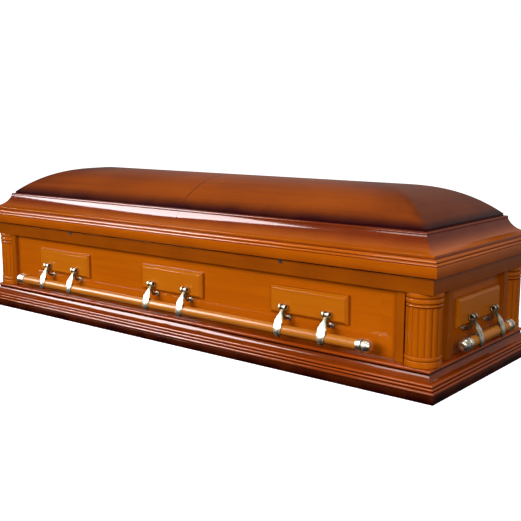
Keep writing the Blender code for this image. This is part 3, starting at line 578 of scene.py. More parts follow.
def makeBoards():
    halfX, halfY, thick = case["halfLength"], case["halfWidth"], boards["thick"]
    notchX, notchY, (far, near) = boards["notchX"], boards["notchY"], boards["fade"]
    stileEdge, stileFace, wall = notchX + boards["lip"], -halfY - boards["proud"], -notchY - case["gap"]
    root = stileEdge - boards["stile"]
    longHalf = [(root - far, -halfY), (root - near, -halfY), (root, -halfY), (root, stileFace),
                (stileEdge, stileFace), (notchX, stileFace + boards["lipBevel"]), (notchX, wall),
                (notchX - thick, wall), (notchX - thick, -halfY + thick)]
    root, stileFace = notchY - boards["stile"], halfX + boards["proud"]
    endHalf = [(root - far, halfX), (root - near, halfX), (root, halfX), (root, stileFace), (notchY, stileFace),
               (notchY, notchX - thick), (notchY - thick, notchX - thick), (notchY - thick, halfX - thick)]
    for name, node, half, turn in (
            ("frontBoard", "front_board", longHalf, lambda p: p),
            ("backBoard", "back_board", longHalf, lambda p: (p[0], -p[1])),
            ("footEndBoard", "foot_end_board", endHalf, lambda p: (p[1], p[0])),
            ("headEndBoard", "head_end_board", endHalf, lambda p: (-p[1], p[0]))):
        addPiece(name, boardMesh(name, half, turn), orangeWood, "case", [node])
    giveMaterial(insideWood, "bottom_board")


makeBoards()
print("boards made")


# Top rail with the lip that the lid rests on

rail = {"height": 0.0447, "overhang": 0.030, "lip": 0.0052, "lipOut": 0.011, "edge": 0.0007, "headTone": 0.55,
        "footTone": 0.5, "toneBand": 0.006, "blockInset": 0.012, "blockFoot": 0.0006, "blockHead": 0.030}


def makeRail():
    low, inside, band = case["railBottom"], -boards["thick"], rail["toneBand"]
    top = low + rail["height"]
    lipTop = top + rail["lip"]
    points = [(inside, low), (rail["overhang"], low), (rail["overhang"], top), (rail["lipOut"], top),
              (rail["lipOut"], lipTop), (inside, lipTop)]
    points = softened(points, rail["edge"], steps=5)
    # painted shade on the rail's top under the lid, on its underside below the overhang, and in its corners
    tonerAndShades = []
    for (_, z), mark in zip(points, hollows(points)):
        head, foot = blendStep(z, top - band, top), 1 - blendStep(z, low, low + band)
        tonerAndShades.append(max(mark, rail["headTone"] * head, rail["footTone"] * foot))
    form, _ = ringForm(frameRings(points), tonerAndShades, lengthsAlong(points + points[:1]), "yxyx")
    meshes = [meshOf(form, "rail")]
    # a block in each corner notch carries the rail over the column's head
    x0, x1 = boards["notchX"] - boards["thick"], case["halfLength"] - rail["blockInset"]
    y0, y1 = boards["notchY"] - boards["thick"], case["halfWidth"] - rail["blockInset"]
    for sx, sy in fourCorners:
        rings = [[(sx * x, sy * y, z) for x, y in ((x0, y0), (x1, y0), (x1, y1), (x0, y1))]
                 for z in (low + rail["blockFoot"], low + rail["blockHead"])]
        # the corner blocks are painted darker at their foot, as shade in the notch
        form, rows = ringForm(rings, (0.5, 0.2), (0, rail["blockHead"]), "xyxy", closeRows=False)
        for row in rows:
            form.faces.new(row)
        meshes.append(meshOf(form, "block"))
    addPiece("topRail", joinedMesh("topRail", meshes), orangeWood, "case", ["top_rail"])


makeRail()
print("rail made")


# Geometry Nodes helpers

def newTree(name, sockets):
    output = [("OUTPUT", "Geometry", "Geometry", None)]
    return newGroup(name, output + [("INPUT", *socket) for socket in sockets], "GeometryNodeTree")


def closeTree(tree, geometry, material, result):  # realised and with its material, as the export needs it
    solid = addNode(tree, "RealizeInstances", None, Geometry=geometry).outputs[0]
    tree.links.new(addNode(tree, "SetMaterial", None, Geometry=solid, Material=material).outputs[0], result)


def treeMesh(tree, name, values):  # runs the tree on an empty mesh and keeps the result
    carrier = linked(name + "Carrier", bpy.data.meshes.new(name + "Carrier"))
    modifier = carrier.modifiers.new("nodes", "NODES")
    modifier.node_group = tree
    for item in tree.interface.items_tree:
        if item.in_out == "INPUT" and item.name in values:
            modifier[item.identifier] = values[item.name]
    bpy.context.view_layer.update()
    graph = bpy.context.evaluated_depsgraph_get()
    mesh = bpy.data.meshes.new_from_object(carrier.evaluated_get(graph))
    carrier.modifiers.remove(modifier)
    bpy.data.objects.remove(carrier, do_unlink=True)
    return mesh


# Corner columns: a reeded shaft between turned rings

column = {"radius": 0.0535, "setback": 0.0260, "flutes": 16, "fluteDepth": 0.0024, "ringRadius": 0.0552,
          "groove": 0.0032, "footRings": (0.0190, 0.0110), "headRings": (0.0060, 0.0120, 0.0130), "spacing": 0.0045,
          "sidesPerFlute": 10, "rows": 12, "ringSides": 72, "shoulder": 0.0012, "arris": 0.0032, "arrisBow": 0.0008,
          "flatFrom": 0.010, "grooveInset": 0.0006, "grooveBow": 0.0005, "core": 0.006, "neck": (0.004, 0.003),
          "valleyPower": 1.2, "valleyTone": 0.5, "ringTone": 0.6,
          "sunk": 0.001}  # how far the shaft's ends reach into the rings


def makeShaftTree():
    tree, come, go = newTree("reededShafts", [
        ("Float", "Radius", 0.05), ("Float", "Length", 0.13), ("Float", "Foot", 0.1), ("Int", "Flutes", 16),
        ("Int", "Sides", 160), ("Int", "Rows", 12), ("Float", "Depth", 0.002), ("Float", "Spacing X", 1.956),
        ("Float", "Spacing Y", 0.564), ("Material", "Wood", None)])
    shaft = addNode(tree, "MeshCylinder", None, Vertices=come["Sides"], Side_Segments=come["Rows"],
                    Radius=come["Radius"], Depth=come["Length"])
    place = addNode(tree, "InputPosition").outputs[0]
    parts = addNode(tree, "SeparateXYZ", None, i0=place).outputs
    angle = mathNode(tree, "ARCTAN2", parts[1], parts[0])
    turns = times(tree, angle, mathNode(tree, "DIVIDE", come["Flutes"], 2.0))
    wave = mathNode(tree, "ABSOLUTE", mathNode(tree, "COSINE", turns))
    valley = mathNode(tree, "POWER", mathNode(tree, "SUBTRACT", 1.0, wave), column["valleyPower"])
    level = vectorOf(tree, parts[0], parts[1])
    outward = addNode(tree, "VectorMath", {"operation": "NORMALIZE"}, i0=level).outputs[0]
    inward = times(tree, times(tree, valley, come["Depth"]), -1.0)
    offset = addNode(tree, "VectorMath", {"operation": "SCALE"}, i0=outward, Scale=inward).outputs[0]
    carved = addNode(tree, "SetPosition", None, Geometry=shaft.outputs["Mesh"], Offset=offset).outputs[0]
    # painted shade in the flute valleys
    tone = times(tree, mathNode(tree, "POWER", valley, 3.0), column["valleyTone"])
    toned = addNode(tree, "StoreNamedAttribute", {"data_type": "FLOAT", "domain": "POINT"}, Geometry=carved,
                    Name="toner", Value=tone).outputs[0]
    around = addNode(tree, "SeparateXYZ", None, i0=shaft.outputs["UV Map"]).outputs
    along = times(tree, around[1], times(tree, come["Length"], 2.0))
    girth = times(tree, around[0], times(tree, come["Radius"], 2 * math.pi))
    mapped = addNode(tree, "StoreNamedAttribute", {"data_type": "FLOAT2", "domain": "CORNER"}, Geometry=toned,
                     Name="grain", Value=vectorOf(tree, along, girth)).outputs[0]
    corners = addNode(tree, "MeshGrid", None, Size_X=come["Spacing X"], Size_Y=come["Spacing Y"], Vertices_X=2,
                      Vertices_Y=2).outputs["Mesh"]
    lift = mathNode(tree, "ADD", come["Foot"], times(tree, come["Length"], 0.5))
    lifted = addNode(tree, "Transform", None, Geometry=corners, Translation=vectorOf(tree, z=lift)).outputs[0]
    four = addNode(tree, "InstanceOnPoints", None, Points=lifted, Instance=mapped).outputs[0]
    closeTree(tree, four, come["Wood"], go["Geometry"])
    return tree


def ringStack(heights, spacing, upward):  # turned rings with grooves between them
    wide, groove = column["ringRadius"], column["ringRadius"] - column["groove"]
    foot, edge, bow, inset = groove + column["shoulder"], column["arris"], column["arrisBow"], column["grooveInset"]
    profile, z = [], 0.0
    for here, tall in enumerate(heights):
        profile.append((foot, z))
        if tall > column["flatFrom"]:  # taller rings are flat with rounded arrises
            profile += arcPoints((foot, z), (wide, z + edge), -bow, 4)
            profile += arcPoints((wide, z + tall - edge), (foot, z + tall), -bow, 4)
        else:
            profile += arcPoints((foot, z), (foot, z + tall), -(column["groove"] - column["shoulder"]), 8)
        z += tall
        if here < len(heights) - 1 or upward:
            profile += arcPoints((groove, z + inset), (groove, z + spacing - inset), column["grooveBow"], 3)
            z += spacing
    return profile, z


def makeColumns():
    foot, radius, spacing = case["baseTop"] + case["gap"], column["radius"], column["spacing"]
    height = case["railBottom"] - case["baseTop"] - 2 * case["gap"]
    low, footEnd = ringStack(column["footRings"], spacing / 2, True)
    high, _ = ringStack(column["headRings"], spacing, False)
    headStart = height - (sum(column["headRings"]) + spacing * (len(column["headRings"]) - 1))
    shaftLow, shaftHigh = footEnd, headStart - spacing
    spacingX = 2 * (case["halfLength"] - column["setback"])
    spacingY = 2 * (case["halfWidth"] - column["setback"])
    sunk = column["sunk"]
    shafts = treeMesh(makeShaftTree(), "shafts", {
        "Radius": radius, "Length": shaftHigh - shaftLow + 2 * sunk, "Foot": foot + shaftLow - sunk,
        "Flutes": column["flutes"], "Sides": column["flutes"] * column["sidesPerFlute"], "Rows": column["rows"],
        "Depth": column["fluteDepth"], "Spacing X": spacingX, "Spacing Y": spacingY, "Wood": orangeWood})
    core, (neckIn, neckOut) = radius - column["core"], column["neck"]
    low = [(core, 0.0)] + low + [(core, footEnd)]
    high = [(r, z + headStart) for r, z in high] + [(core, height)]
    high = [(core, shaftHigh - 0.0005), (radius - neckIn, shaftHigh), (radius - neckOut, headStart)] + high
    rings = []
    for sx, sy in fourCorners:
        spot = Matrix.Translation((sx * spacingX / 2, sy * spacingY / 2, foot))
        for profile in (low, high):
            # painted shade in the grooves between the rings
            deep = [max(0.0, (column["ringRadius"] - r) / column["groove"]) for r, _ in profile]
            tone = [min(1.0, share ** 3) * column["ringTone"] for share in deep]
            rings.append(turnedMesh("rings", profile, column["ringSides"], spot, tone, shift=sx + 0.3 * sy))
    nodes = [f"column_{side}_{end}" for side in ("front", "back") for end in ("head", "foot")]
    shafts.shade_smooth()
    shafts.set_sharp_from_angle(angle=math.radians(40))
    addPiece("columnShafts", shafts, orangeWood, "case", nodes)
    addPiece("columnRings", joinedMesh("columnRings", rings), orangeWood, "case", nodes)


makeColumns()
print("columns made")


# Raised plaques behind the handles

plaque = {"length": 0.2950, "height": 0.090, "depth": 0.020, "chamfer": 0.0085, "edge": 0.011, "bottom": 0.0860,
          "spacing": 0.596, "soft": 0.0009, "field": 0.040, "footTone": 0.5}


def sideFrames():  # each side's middle, turn and stations, in the CAD's order
    stations = (("head", -plaque["spacing"]), ("middle", 0.0), ("foot", plaque["spacing"]))
    return (("front", (0, -case["halfWidth"]), 0.0, stations),
            ("back", (0, case["halfWidth"]), math.pi, tuple((name, -along) for name, along in stations)),
            ("foot_end", (case["halfLength"], 0), math.pi / 2, (("", 0.0),)),
            ("head_end", (-case["halfLength"], 0), -math.pi / 2, (("", 0.0),)))


def joinedName(*words):
    return "_".join(word for word in words if word)


def plaqueMesh(name, shift):
    section = [Vector(point) for point in (
        (0.0, case["gap"]), (0.0, plaque["edge"]), (plaque["chamfer"], plaque["depth"]),
        (plaque["field"], plaque["depth"]))]
    soft = [tuple(section[0])]
    for here in (0, 1):
        soft += roundedCorner(*section[here:here + 3], plaque["soft"], 4)
    soft.append(tuple(section[-1]))
    form, grain, toner = newForm()
    rows = []
    for inset, out in soft:
        x, low, high = plaque["length"] / 2 - inset, inset, plaque["height"] - inset
        row = []
        for px, pz in ((-x, low), (x, low), (x, high), (-x, high)):
            row.append(form.verts.new((px, -out, pz)))
            # painted shade in the corner where the plaque meets the panel
            row[-1][toner] = plaque["footTone"] * (1 - blendStep(out, 0.001, 0.006))
        rows.append(row)
    skinRows(form, rows)
    for face in form.faces:
        for loop in face.loops:
            x, y, z = loop.vert.co
            loop[grain].uv = (x + shift, z - y * 0.6 + shift * 0.37)
    return meshOf(form, name, sharp=40)


def makePlaques():
    shift = 5.0
    for side, middle, turn, stations in sideFrames():
        for station, along in stations:
            name = joinedName("plaque", side, station)
            mesh = plaqueMesh(name, shift)
            spot = (middle[0] + along * math.cos(turn), middle[1] + along * math.sin(turn),
                    case["baseTop"] + plaque["bottom"])
            mesh.transform(Matrix.Translation(spot) @ Matrix.Rotation(turn, 4, "Z"))
            addPiece(name + "_dressed", mesh, plaqueWood, "case", [name])
            shift += 1.9


makePlaques()
print("plaques made")


# Lid halves: moulded frame and domed crown

lid = {"bottom": 0.3577, "band": 0.0462, "bandHeight": 0.0325, "beads": ((0.0085, 0.0080), (0.0058, 0.0067)),
       "step": 0.0015, "fillet": 0.0106, "coveHeight": 0.0469, "coveIn": 0.0545, "coveSag": 0.0102,
       "nosing": 0.0085, "wall": 0.024, "sill": 0.0460, "seam": 0.0003, "seamWall": 0.018, "quirk": 0.002,
       "swell": 0.40, "soft": 0.0008, "coveTone": 0.95, "coveBand": (0.056, 0.012), "footTone": 0.5}
crown = {"setback": 0.0355, "foot": 0.0067, "rise": 0.100, "endRun": 0.285, "fullness": 2.6, "wall": 0.018,
         "rows": 30, "hipSteps": 6, "hipFoot": 0.003, "hipTop": 0.030, "stations": (0.30, 0.16, 0.07, 0.02),
         "seamShade": 0.004, "seamTone": 0.6, "hipTone": 0.75, "endTone": 0.50, "footBand": (-0.004, 0.042),
         "crowding": 1.35}  # rows stand closer together towards the foot


def lidRing(x, y, z, near, sign):
    return [(sign * near, -y, z), (sign * x, -y, z), (sign * x, y, z), (sign * near, y, z)]


def lidFrameMesh(name, sign):
    band, bottom, quirk, nosing = lid["band"], lid["bottom"], lid["quirk"], lid["nosing"]
    beadTop = bottom + lid["bandHeight"] + sum(height for height, _ in lid["beads"]) + quirk + quirk
    beadStart = (band - sum(advance for _, advance in lid["beads"]) - lid["step"], beadTop)
    coveFoot = (beadStart[0], beadTop + lid["fillet"])
    coveHead = (coveFoot[0] - lid["coveIn"], coveFoot[1] + lid["coveHeight"])
    top = coveHead[1] + nosing
    inside = -crown["setback"] - crown["wall"]
    points = outlineOf((coveHead[0] - nosing * 0.3, top), (*coveHead, nosing * 0.22, 8),
                       (*coveFoot, -lid["coveSag"], 16), beadStart)
    points += beadRun(beadStart, lid["beads"], lid["swell"])
    points += [(band, points[-1][1]), (band, bottom + quirk / 2), (band - quirk / 2, bottom)]
    outerCount = len(points)
    points += [(band - lid["sill"], bottom), (band - lid["sill"], bottom + lid["bandHeight"] * 0.8),
               (coveFoot[0] - lid["wall"], beadTop + lid["fillet"] * 0.3), (inside, coveHead[1] - lid["wall"] * 0.5),
               (inside, top)]
    # the inner wall stands back from the seam, which leaves a closing wall there
    keep = {point: lid["seamWall"] if here >= outerCount else 0.0 for here, point in enumerate(points)}
    soft = softened(points, lid["soft"])
    tonerAndShades, rings = [], []
    for (n, z), mark in zip(soft, hollows(soft)):
        nearest = min(keep, key=lambda p: (p[0] - n) ** 2 + (p[1] - z) ** 2)
        rings.append(lidRing(case["halfLength"] + n, case["halfWidth"] + n, z, lid["seam"] + keep[nearest], sign))
        # painted shade in the grooves, on the ledge under the crown's foot and at the band's foot by the parting
        # line; the upper cove is darker
        start, end = (coveHead[1] - down for down in lid["coveBand"])
        highCove = lid["coveTone"] * blendStep(z, start, end)
        ledgeCornerShade = blendStep(z, top - 0.003, top) * (1 - blendStep(n, coveHead[0] - 0.010, coveHead[0]))
        foot = lid["footTone"] * (1 - blendStep(z, bottom, bottom + 0.005))
        tonerAndShades.append(min(1.0, max(mark, highCove, lid["coveTone"] * ledgeCornerShade, foot)))
    form, _ = ringForm(rings, tonerAndShades, lengthsAlong(soft + soft[:1]), "xyxy", shift=sign * 2.0)
    return meshOf(form, name), top


def crownRing(x, y, z, near, sign, radius):
    # rounded at the two outer corners, square at the seam
    radius = min(radius, y * 0.9)
    straight = [near, near + crown["seamShade"]] + [x - radius - back for back in crown["stations"]]
    points = [(px, -y) for px in straight]
    for start, centre in ((-90, (x - radius, -y + radius)), (0, (x - radius, y - radius))):
        for step in range(crown["hipSteps"] + 1):
            angle = math.radians(start + 90 * step / crown["hipSteps"])
            points.append((centre[0] + radius * math.cos(angle), centre[1] + radius * math.sin(angle)))
    points += [(px, y) for px in reversed(straight)]
    return [(sign * px, py, z) for px, py in points]


def crownTones(base, t):
    # the shading lacquer lies darker at the foot and along the hips, the whole end is darker, and beside the seam gap
    # it is painted shade
    hips = [crown["hipTone"] * (0.3 + 0.7 * t) * (1 - blendStep(back, -0.02, 0.24)) for back in crown["stations"]]
    side = [max(base, crown["seamTone"]), base] + [max(base, hip) for hip in hips]
    corner = [max(base, crown["endTone"])] * (crown["hipSteps"] + 1)
    return side + corner * 2 + side[::-1]


def crownMesh(name, sign, top):
    foot = top + case["gap"]
    rings, tonerAndShades, along = [], [], []

    def addRows(wall, near, downward):  # the outer skin has no wall, the inner one is offset by it
        x0 = case["halfLength"] - crown["setback"] - wall
        y0 = case["halfWidth"] - crown["setback"] - wall
        start = foot if wall else foot + crown["foot"]
        rise = crown["rise"] + (crown["foot"] - wall if wall else 0.0)
        count = 2 * len(crown["stations"]) + 2 * crown["hipSteps"] + 6
        plain = [0.0] * count
        rows = [(x0, y0, foot, crown["hipFoot"], plain if wall else [1.0] * count)]
        for step in range(1 if wall else 0, crown["rows"] + 1):
            t = (step / crown["rows"]) ** crown["crowding"]
            z = start + rise * (1 - (1 - t) ** crown["fullness"])
            shade = plain if wall else crownTones(1.0 - blendStep(z - start, *crown["footBand"]), t)
            hip = crown["hipFoot"] + (crown["hipTop"] - crown["hipFoot"]) * t
            rows.append((x0 - crown["endRun"] * t, y0 * (1 - t), z, hip, shade))
        for x, y, z, hip, shade in (reversed(rows) if downward else rows):
            rings.append(crownRing(x, max(y, 1e-5), z, near, sign, hip))
            tonerAndShades.append(shade)
            further = (Vector(rings[-1][0]) - Vector(rings[-2][0])).length if along else 0.0
            along.append(along[-1] + further if along else 0.0)

    addRows(0.0, lid["seam"], True)
    addRows(crown["wall"], lid["seam"] + lid["seamWall"], False)
    along.append(along[-1])
    steps = crown["hipSteps"]
    half, straight = steps // 2, len(crown["stations"]) + 2
    kinds = "x" * (straight + half) + "y" * (2 * (steps - half) + 1) + "x" * (half + straight) + "y"
    form, rows = ringForm(rings, tonerAndShades, along, kinds, closeRows=False, shift=sign * 0.7)
    for row in (rows[0], rows[-1]):
        form.faces.new(row)
    return meshOf(form, name)


def makeLids():
    for end, sign in (("head", -1), ("foot", 1)):
        mesh, top = lidFrameMesh(f"lid_{end}_frame", sign)
        addPiece(f"lid_{end}_moulding", mesh, lidWood, f"lid_{end}", [f"lid_frame_{end}"])
        mesh = crownMesh(f"lid_{end}_dome", sign, top)
        addPiece(f"lid_{end}_dome", mesh, crownWood, f"lid_{end}", [f"lid_crown_{end}"])
    giveMaterial(hingeBrass, "hinge_strap", "hinge_leaf_head", "hinge_leaf_foot")
    giveMaterial(darkMetal, "lifting_tab_head", "lifting_tab_foot")


makeLids()
print("lids made")


# Swing handles: poles, cast arms and ears. Local frame: x along the pole, -y outward, origin on the pivot's axis

handle = {"pivotOut": 0.0320, "pivotUp": 0.1130, "forward": 0.015, "drop": 0.0686, "poleRadius": 0.0158,
          "poleSides": 40, "poleEase": 0.9, "halfLong": 0.850, "halfShort": 0.180, "spread": 0.083,
          "endSpread": 0.078, "backDepth": 0.972, "play": 0.0003}
# A row of steps: the level it is measured from, its share of the radius and its height, and for an arc sag and steps.
cap = {"radius": 0.0208, "length": 0.047, "collar": 0.36, "hollowTone": 0.85, "tone": 0.1, "steps": (
    ("start", 0.88, 0.0), ("start", 0.94, 0.003, -0.0007, 4), ("collar", 0.94, -0.003),
    ("collar", 0.86, 0.0, -0.0010, 4), ("collar", 0.88, 0.005, 0.0012, 5), ("end", 0.80, -0.0080, -0.0028, 12),
    ("end", 0.20, 0.0, -0.0040, 9))}
cheek = {"radius": 0.0105, "width": 0.0078, "sides": 28, "steps": (
    ("inner", 0.86, 0.0), ("inner", 1.0, 0.0016, -0.0005, 4), ("outer", 1.0, -0.0022),
    ("outer", 0.72, 0.0, -0.0009, 6), ("outer", 0.50, -0.0018, -0.0005, 4), ("outer", 0.34, -0.0020),
    ("outer", 0.30, -0.0006), ("outer", 0.12, -0.0002))}
collar = {"width": 0.013, "wall": 0.0035, "sides": 36, "flat": 0.35, "bow": 0.0012}
leaf = {"width": 0.0275, "thick": 0.0065, "lanes": 20, "steps": 7, "scallop": 0.07, "scallops": 34, "ridge": 0.38,
        "veins": 1.5, "veinLean": 3.6, "relief": 0.0010, "veinDepth": 0.0013}
ear = {"width": 0.0100, "radius": 0.0070, "sides": 28, "rod": 0.0045, "rodSides": 14, "rings": 0.12,
       "footUp": 0.0730, "plate": 0.0100, "plateDepth": 0.0045, "bendOut": 0.0250}


def profileSteps(levels, wide, rows):
    return [(wide * share, levels[level] + up, *bow) for level, share, up, *bow in rows]


def poleMeshes(half):
    radius, wide, sides = handle["poleRadius"], cap["radius"], handle["poleSides"]
    start = half - cap["length"]
    slim = radius * handle["poleEase"]
    rod = turnedMesh("rod", [(slim, -start - 0.004), (radius, -start - 0.003), (radius, start + 0.003),
                             (slim, start + 0.004)], sides, alongX, shift=half * 3)
    levels = {"start": start, "collar": start + cap["length"] * cap["collar"], "end": half}
    profile = outlineOf((radius + 0.0002, start), *profileSteps(levels, wide, cap["steps"]), (0.0008, half))
    toner = []
    for r, z in profile:
        hollow = wide * 0.80 < r < wide * 0.895 and abs(z - levels["collar"] - 0.002) < 0.004
        toner.append(cap["hollowTone"] if hollow else cap["tone"])
    return rod, joinedMesh("caps", mirroredTurnings("cap", profile, sides, toner))


def smoothPath(points, steps):  # a Catmull-Rom curve through points of any size
    result = []
    padded = [points[0]] + list(points) + [points[-1]]
    for here in range(len(points) - 1):
        p0, p1, p2, p3 = padded[here:here + 4]
        for step in range(steps):
            t = step / steps
            result.append(tuple(
                0.5 * (2 * b + (c - a) * t + (2 * a - 5 * b + 4 * c - d) * t * t + (3 * b - a - 3 * c + d) * t ** 3)
                for a, b, c, d in zip(p0, p1, p2, p3)))
    result.append(tuple(points[-1]))
    return result


def runAt(path, here):  # the direction of a path of two-part points
    before, after = path[max(here - 1, 0)], path[min(here + 1, len(path) - 1)]
    return (Vector(after) - Vector(before)).normalized()


def leafMesh():
    # the cast leaf of an arm: ribbed along its middle, lobed at its edges, thin at the tail under the pole
    front = handle["forward"] + handle["poleRadius"] + collar["wall"]
    drop, radius = handle["drop"], handle["poleRadius"]
    stations = (  # outward, downward, share of the width, share of the thickness
        (0.0040, 0.0074, 0.58, 1.0), (front * 0.30, drop * 0.27, 0.60, 1.1), (front * 0.54, drop * 0.46, 0.94, 1.1),
        (front * 0.78, drop * 0.70, 1.16, 1.05), (front * 0.945, drop, 1.02, 1.0),
        (front * 0.93, drop + radius * 0.85, 0.74, 0.9), (front * 0.80, drop + radius + 0.0055, 0.62, 0.7))
    path = smoothPath(stations, leaf["steps"])
    spine = [(-out, -down) for out, down, _, _ in path]
    form, _, toner = newForm()
    rows = []
    for here, (_, _, wide, thick) in enumerate(path):
        run = runAt(spine, here)
        normal = Vector((run.y, -run.x))  # points outward and down the front of the leaf
        share = here / (len(path) - 1)
        leafy = blendStep(share, 0.22, 0.42) * (1 - blendStep(share, 0.80, 0.95))
        neck = 0.9 * (1 - blendStep(share, 0.10, 0.34)) + 0.75 * blendStep(share, 0.80, 0.92)
        half = leaf["width"] * wide / 2 * (1 + leaf["scallop"] * leafy * math.sin(share * leaf["scallops"]))
        row = []
        for lane in range(leaf["lanes"]):
            angle = 2 * math.pi * lane / leaf["lanes"]
            q, deep = math.cos(angle), math.sin(angle)
            if deep < 0:  # the outer face rises to a rounded ridge and carries the relief
                vein = abs(math.sin(q * math.pi * leaf["veins"] + leaf["veinLean"] * math.copysign(leafy, q) * share))
                hollow = leafy * (1 - vein) ** 2 * (1 - abs(q)) ** 0.3
                ridge = 0.1 + leaf["ridge"] * (1 - math.sqrt(q * q + 0.01)) - 0.05 * deep
                relief = leaf["relief"] * leafy * (1 - abs(q)) - leaf["veinDepth"] * hollow
                lift = -leaf["thick"] * thick * ridge - relief
                tone = max(0.9 * hollow, 0.6 * blendStep(abs(q), 0.62, 0.95))
            else:
                lift, tone = leaf["thick"] * thick / 2 * deep ** 0.8, 0.6
            spot = Vector(spine[here]) - normal * lift
            vert = form.verts.new((half * q, spot.x, spot.y))
            vert[toner] = min(1.0, tone + neck)
            row.append(vert)
        rows.append(row)
    skinRows(form, rows)
    return meshOf(form, "leaf", sharp=50)


def collarMesh():
    bore, half = handle["poleRadius"] + handle["play"], collar["width"] / 2
    out, flat, bow = handle["poleRadius"] + collar["wall"], half * collar["flat"], collar["bow"]
    section = outlineOf((bore, -half + 0.001), (bore, half - 0.001), (out, flat, -bow, 6), (out, -flat),
                        (bore, -half + 0.001, -bow, 6))
    form, _, toner = newForm()
    rows = []
    for r, z in section:
        row = []
        for side in range(collar["sides"]):
            angle = 2 * math.pi * side / collar["sides"]
            vert = form.verts.new((z, r * math.cos(angle) - handle["forward"], r * math.sin(angle) - handle["drop"]))
            vert[toner] = 0.75 if r < out - 0.001 else 0.45
            row.append(vert)
        rows.append(row)
    skinRows(form, rows, ends=False)
    return meshOf(form, "collar")


def armMesh():
    inner, wide = ear["width"] / 2 + handle["play"], cheek["radius"]
    outer = inner + cheek["width"]
    steps = profileSteps({"inner": inner, "outer": outer}, wide, cheek["steps"])
    profile = outlineOf((axisRadius, inner), *steps, (axisRadius, outer - 0.0002))
    # painted shade in the hole at the middle and on the inner faces between the cheeks; the outer faces carry the
    # patina
    toner = [1.0 if r < wide * 0.56 else 0.62 if z < outer - 0.003 else 0.42 for r, z in profile]
    cheeks = mirroredTurnings("cheek", profile, cheek["sides"], toner)
    return joinedMesh("arm", [leafMesh()] + cheeks + [collarMesh()], sharp=45)


def earMesh():
    footDrop = handle["pivotUp"] - ear["footUp"]
    half, radius, reach, sides = ear["width"] / 2, ear["radius"], handle["pivotOut"], ear["sides"]
    knuckle = [(axisRadius, -half), (radius * 0.85, -half), (radius, -half + 0.001), (radius, half - 0.001),
               (radius * 0.85, half), (axisRadius, half)]
    plate = [(ear["plate"] * 0.98, case["gap"])]
    plate += arcPoints((ear["plate"], 0.0012), (ear["plate"] * 0.62, ear["plateDepth"]), -0.0010, 6)
    plate += [(axisRadius, ear["plateDepth"])]
    matrix = Matrix.Translation((0, reach, -footDrop)) @ Matrix.Rotation(math.pi / 2, 4, "X")
    path = smoothPath(((reach - 0.002, -footDrop), (reach - 0.012, -footDrop * 0.99),
                       (reach - ear["bendOut"], -footDrop * 0.86), (0.002, -0.012), (0.001, -0.001)), 5)
    form, _, toner = newForm()
    rows = []
    for here, (y, z) in enumerate(path):
        run = runAt(path, here)
        share = here / (len(path) - 1)
        thick = ear["rod"] * (1.0 + ear["rings"] * math.cos(share * math.pi * 6))
        row = []
        for lane in range(ear["rodSides"]):
            angle = 2 * math.pi * lane / ear["rodSides"]
            aside, lift = thick * math.cos(angle), thick * math.sin(angle)
            vert = form.verts.new((aside, y - run.y * lift, z + run.x * lift))
            vert[toner] = 0.75
            row.append(vert)
        rows.append(row)
    skinRows(form, rows)
    meshes = [turnedMesh("knuckle", knuckle, sides, alongX, [0.7] * len(knuckle)),
              turnedMesh("plate", plate, sides, matrix, [0.6] * len(plate)), meshOf(form, "rod")]
    return joinedMesh("ear", meshes, sharp=45)


def makePairTree():
    # sets pairs of one casting along the pole: groups at a spacing, and two in each group
    tree, come, go = newTree("castingPairs", [
        ("Object", "Casting", None), ("Int", "Groups", 3), ("Float", "Group Spacing", 0.596),
        ("Float", "Spread", 0.083), ("Material", "Metal", None)])
    length = times(tree, mathNode(tree, "SUBTRACT", come["Groups"], 1.0), come["Group Spacing"])
    start = vectorOf(tree, times(tree, length, -0.5))
    groups = addNode(tree, "MeshLine", None, Count=come["Groups"], Start_Location=start,
                     Offset=vectorOf(tree, come["Group Spacing"])).outputs[0]
    left = vectorOf(tree, times(tree, come["Spread"], -1.0))
    apart = vectorOf(tree, times(tree, come["Spread"], 2.0))
    pair = addNode(tree, "MeshLine", None, Count=2, Start_Location=left, Offset=apart).outputs[0]
    casting = addNode(tree, "ObjectInfo", None, Object=come["Casting"]).outputs["Geometry"]
    two = addNode(tree, "InstanceOnPoints", None, Points=pair, Instance=casting).outputs[0]
    held = addNode(tree, "RealizeInstances", None, Geometry=two).outputs[0]
    every = addNode(tree, "InstanceOnPoints", None, Points=groups, Instance=held).outputs[0]
    closeTree(tree, every, come["Metal"], go["Geometry"])
    return tree


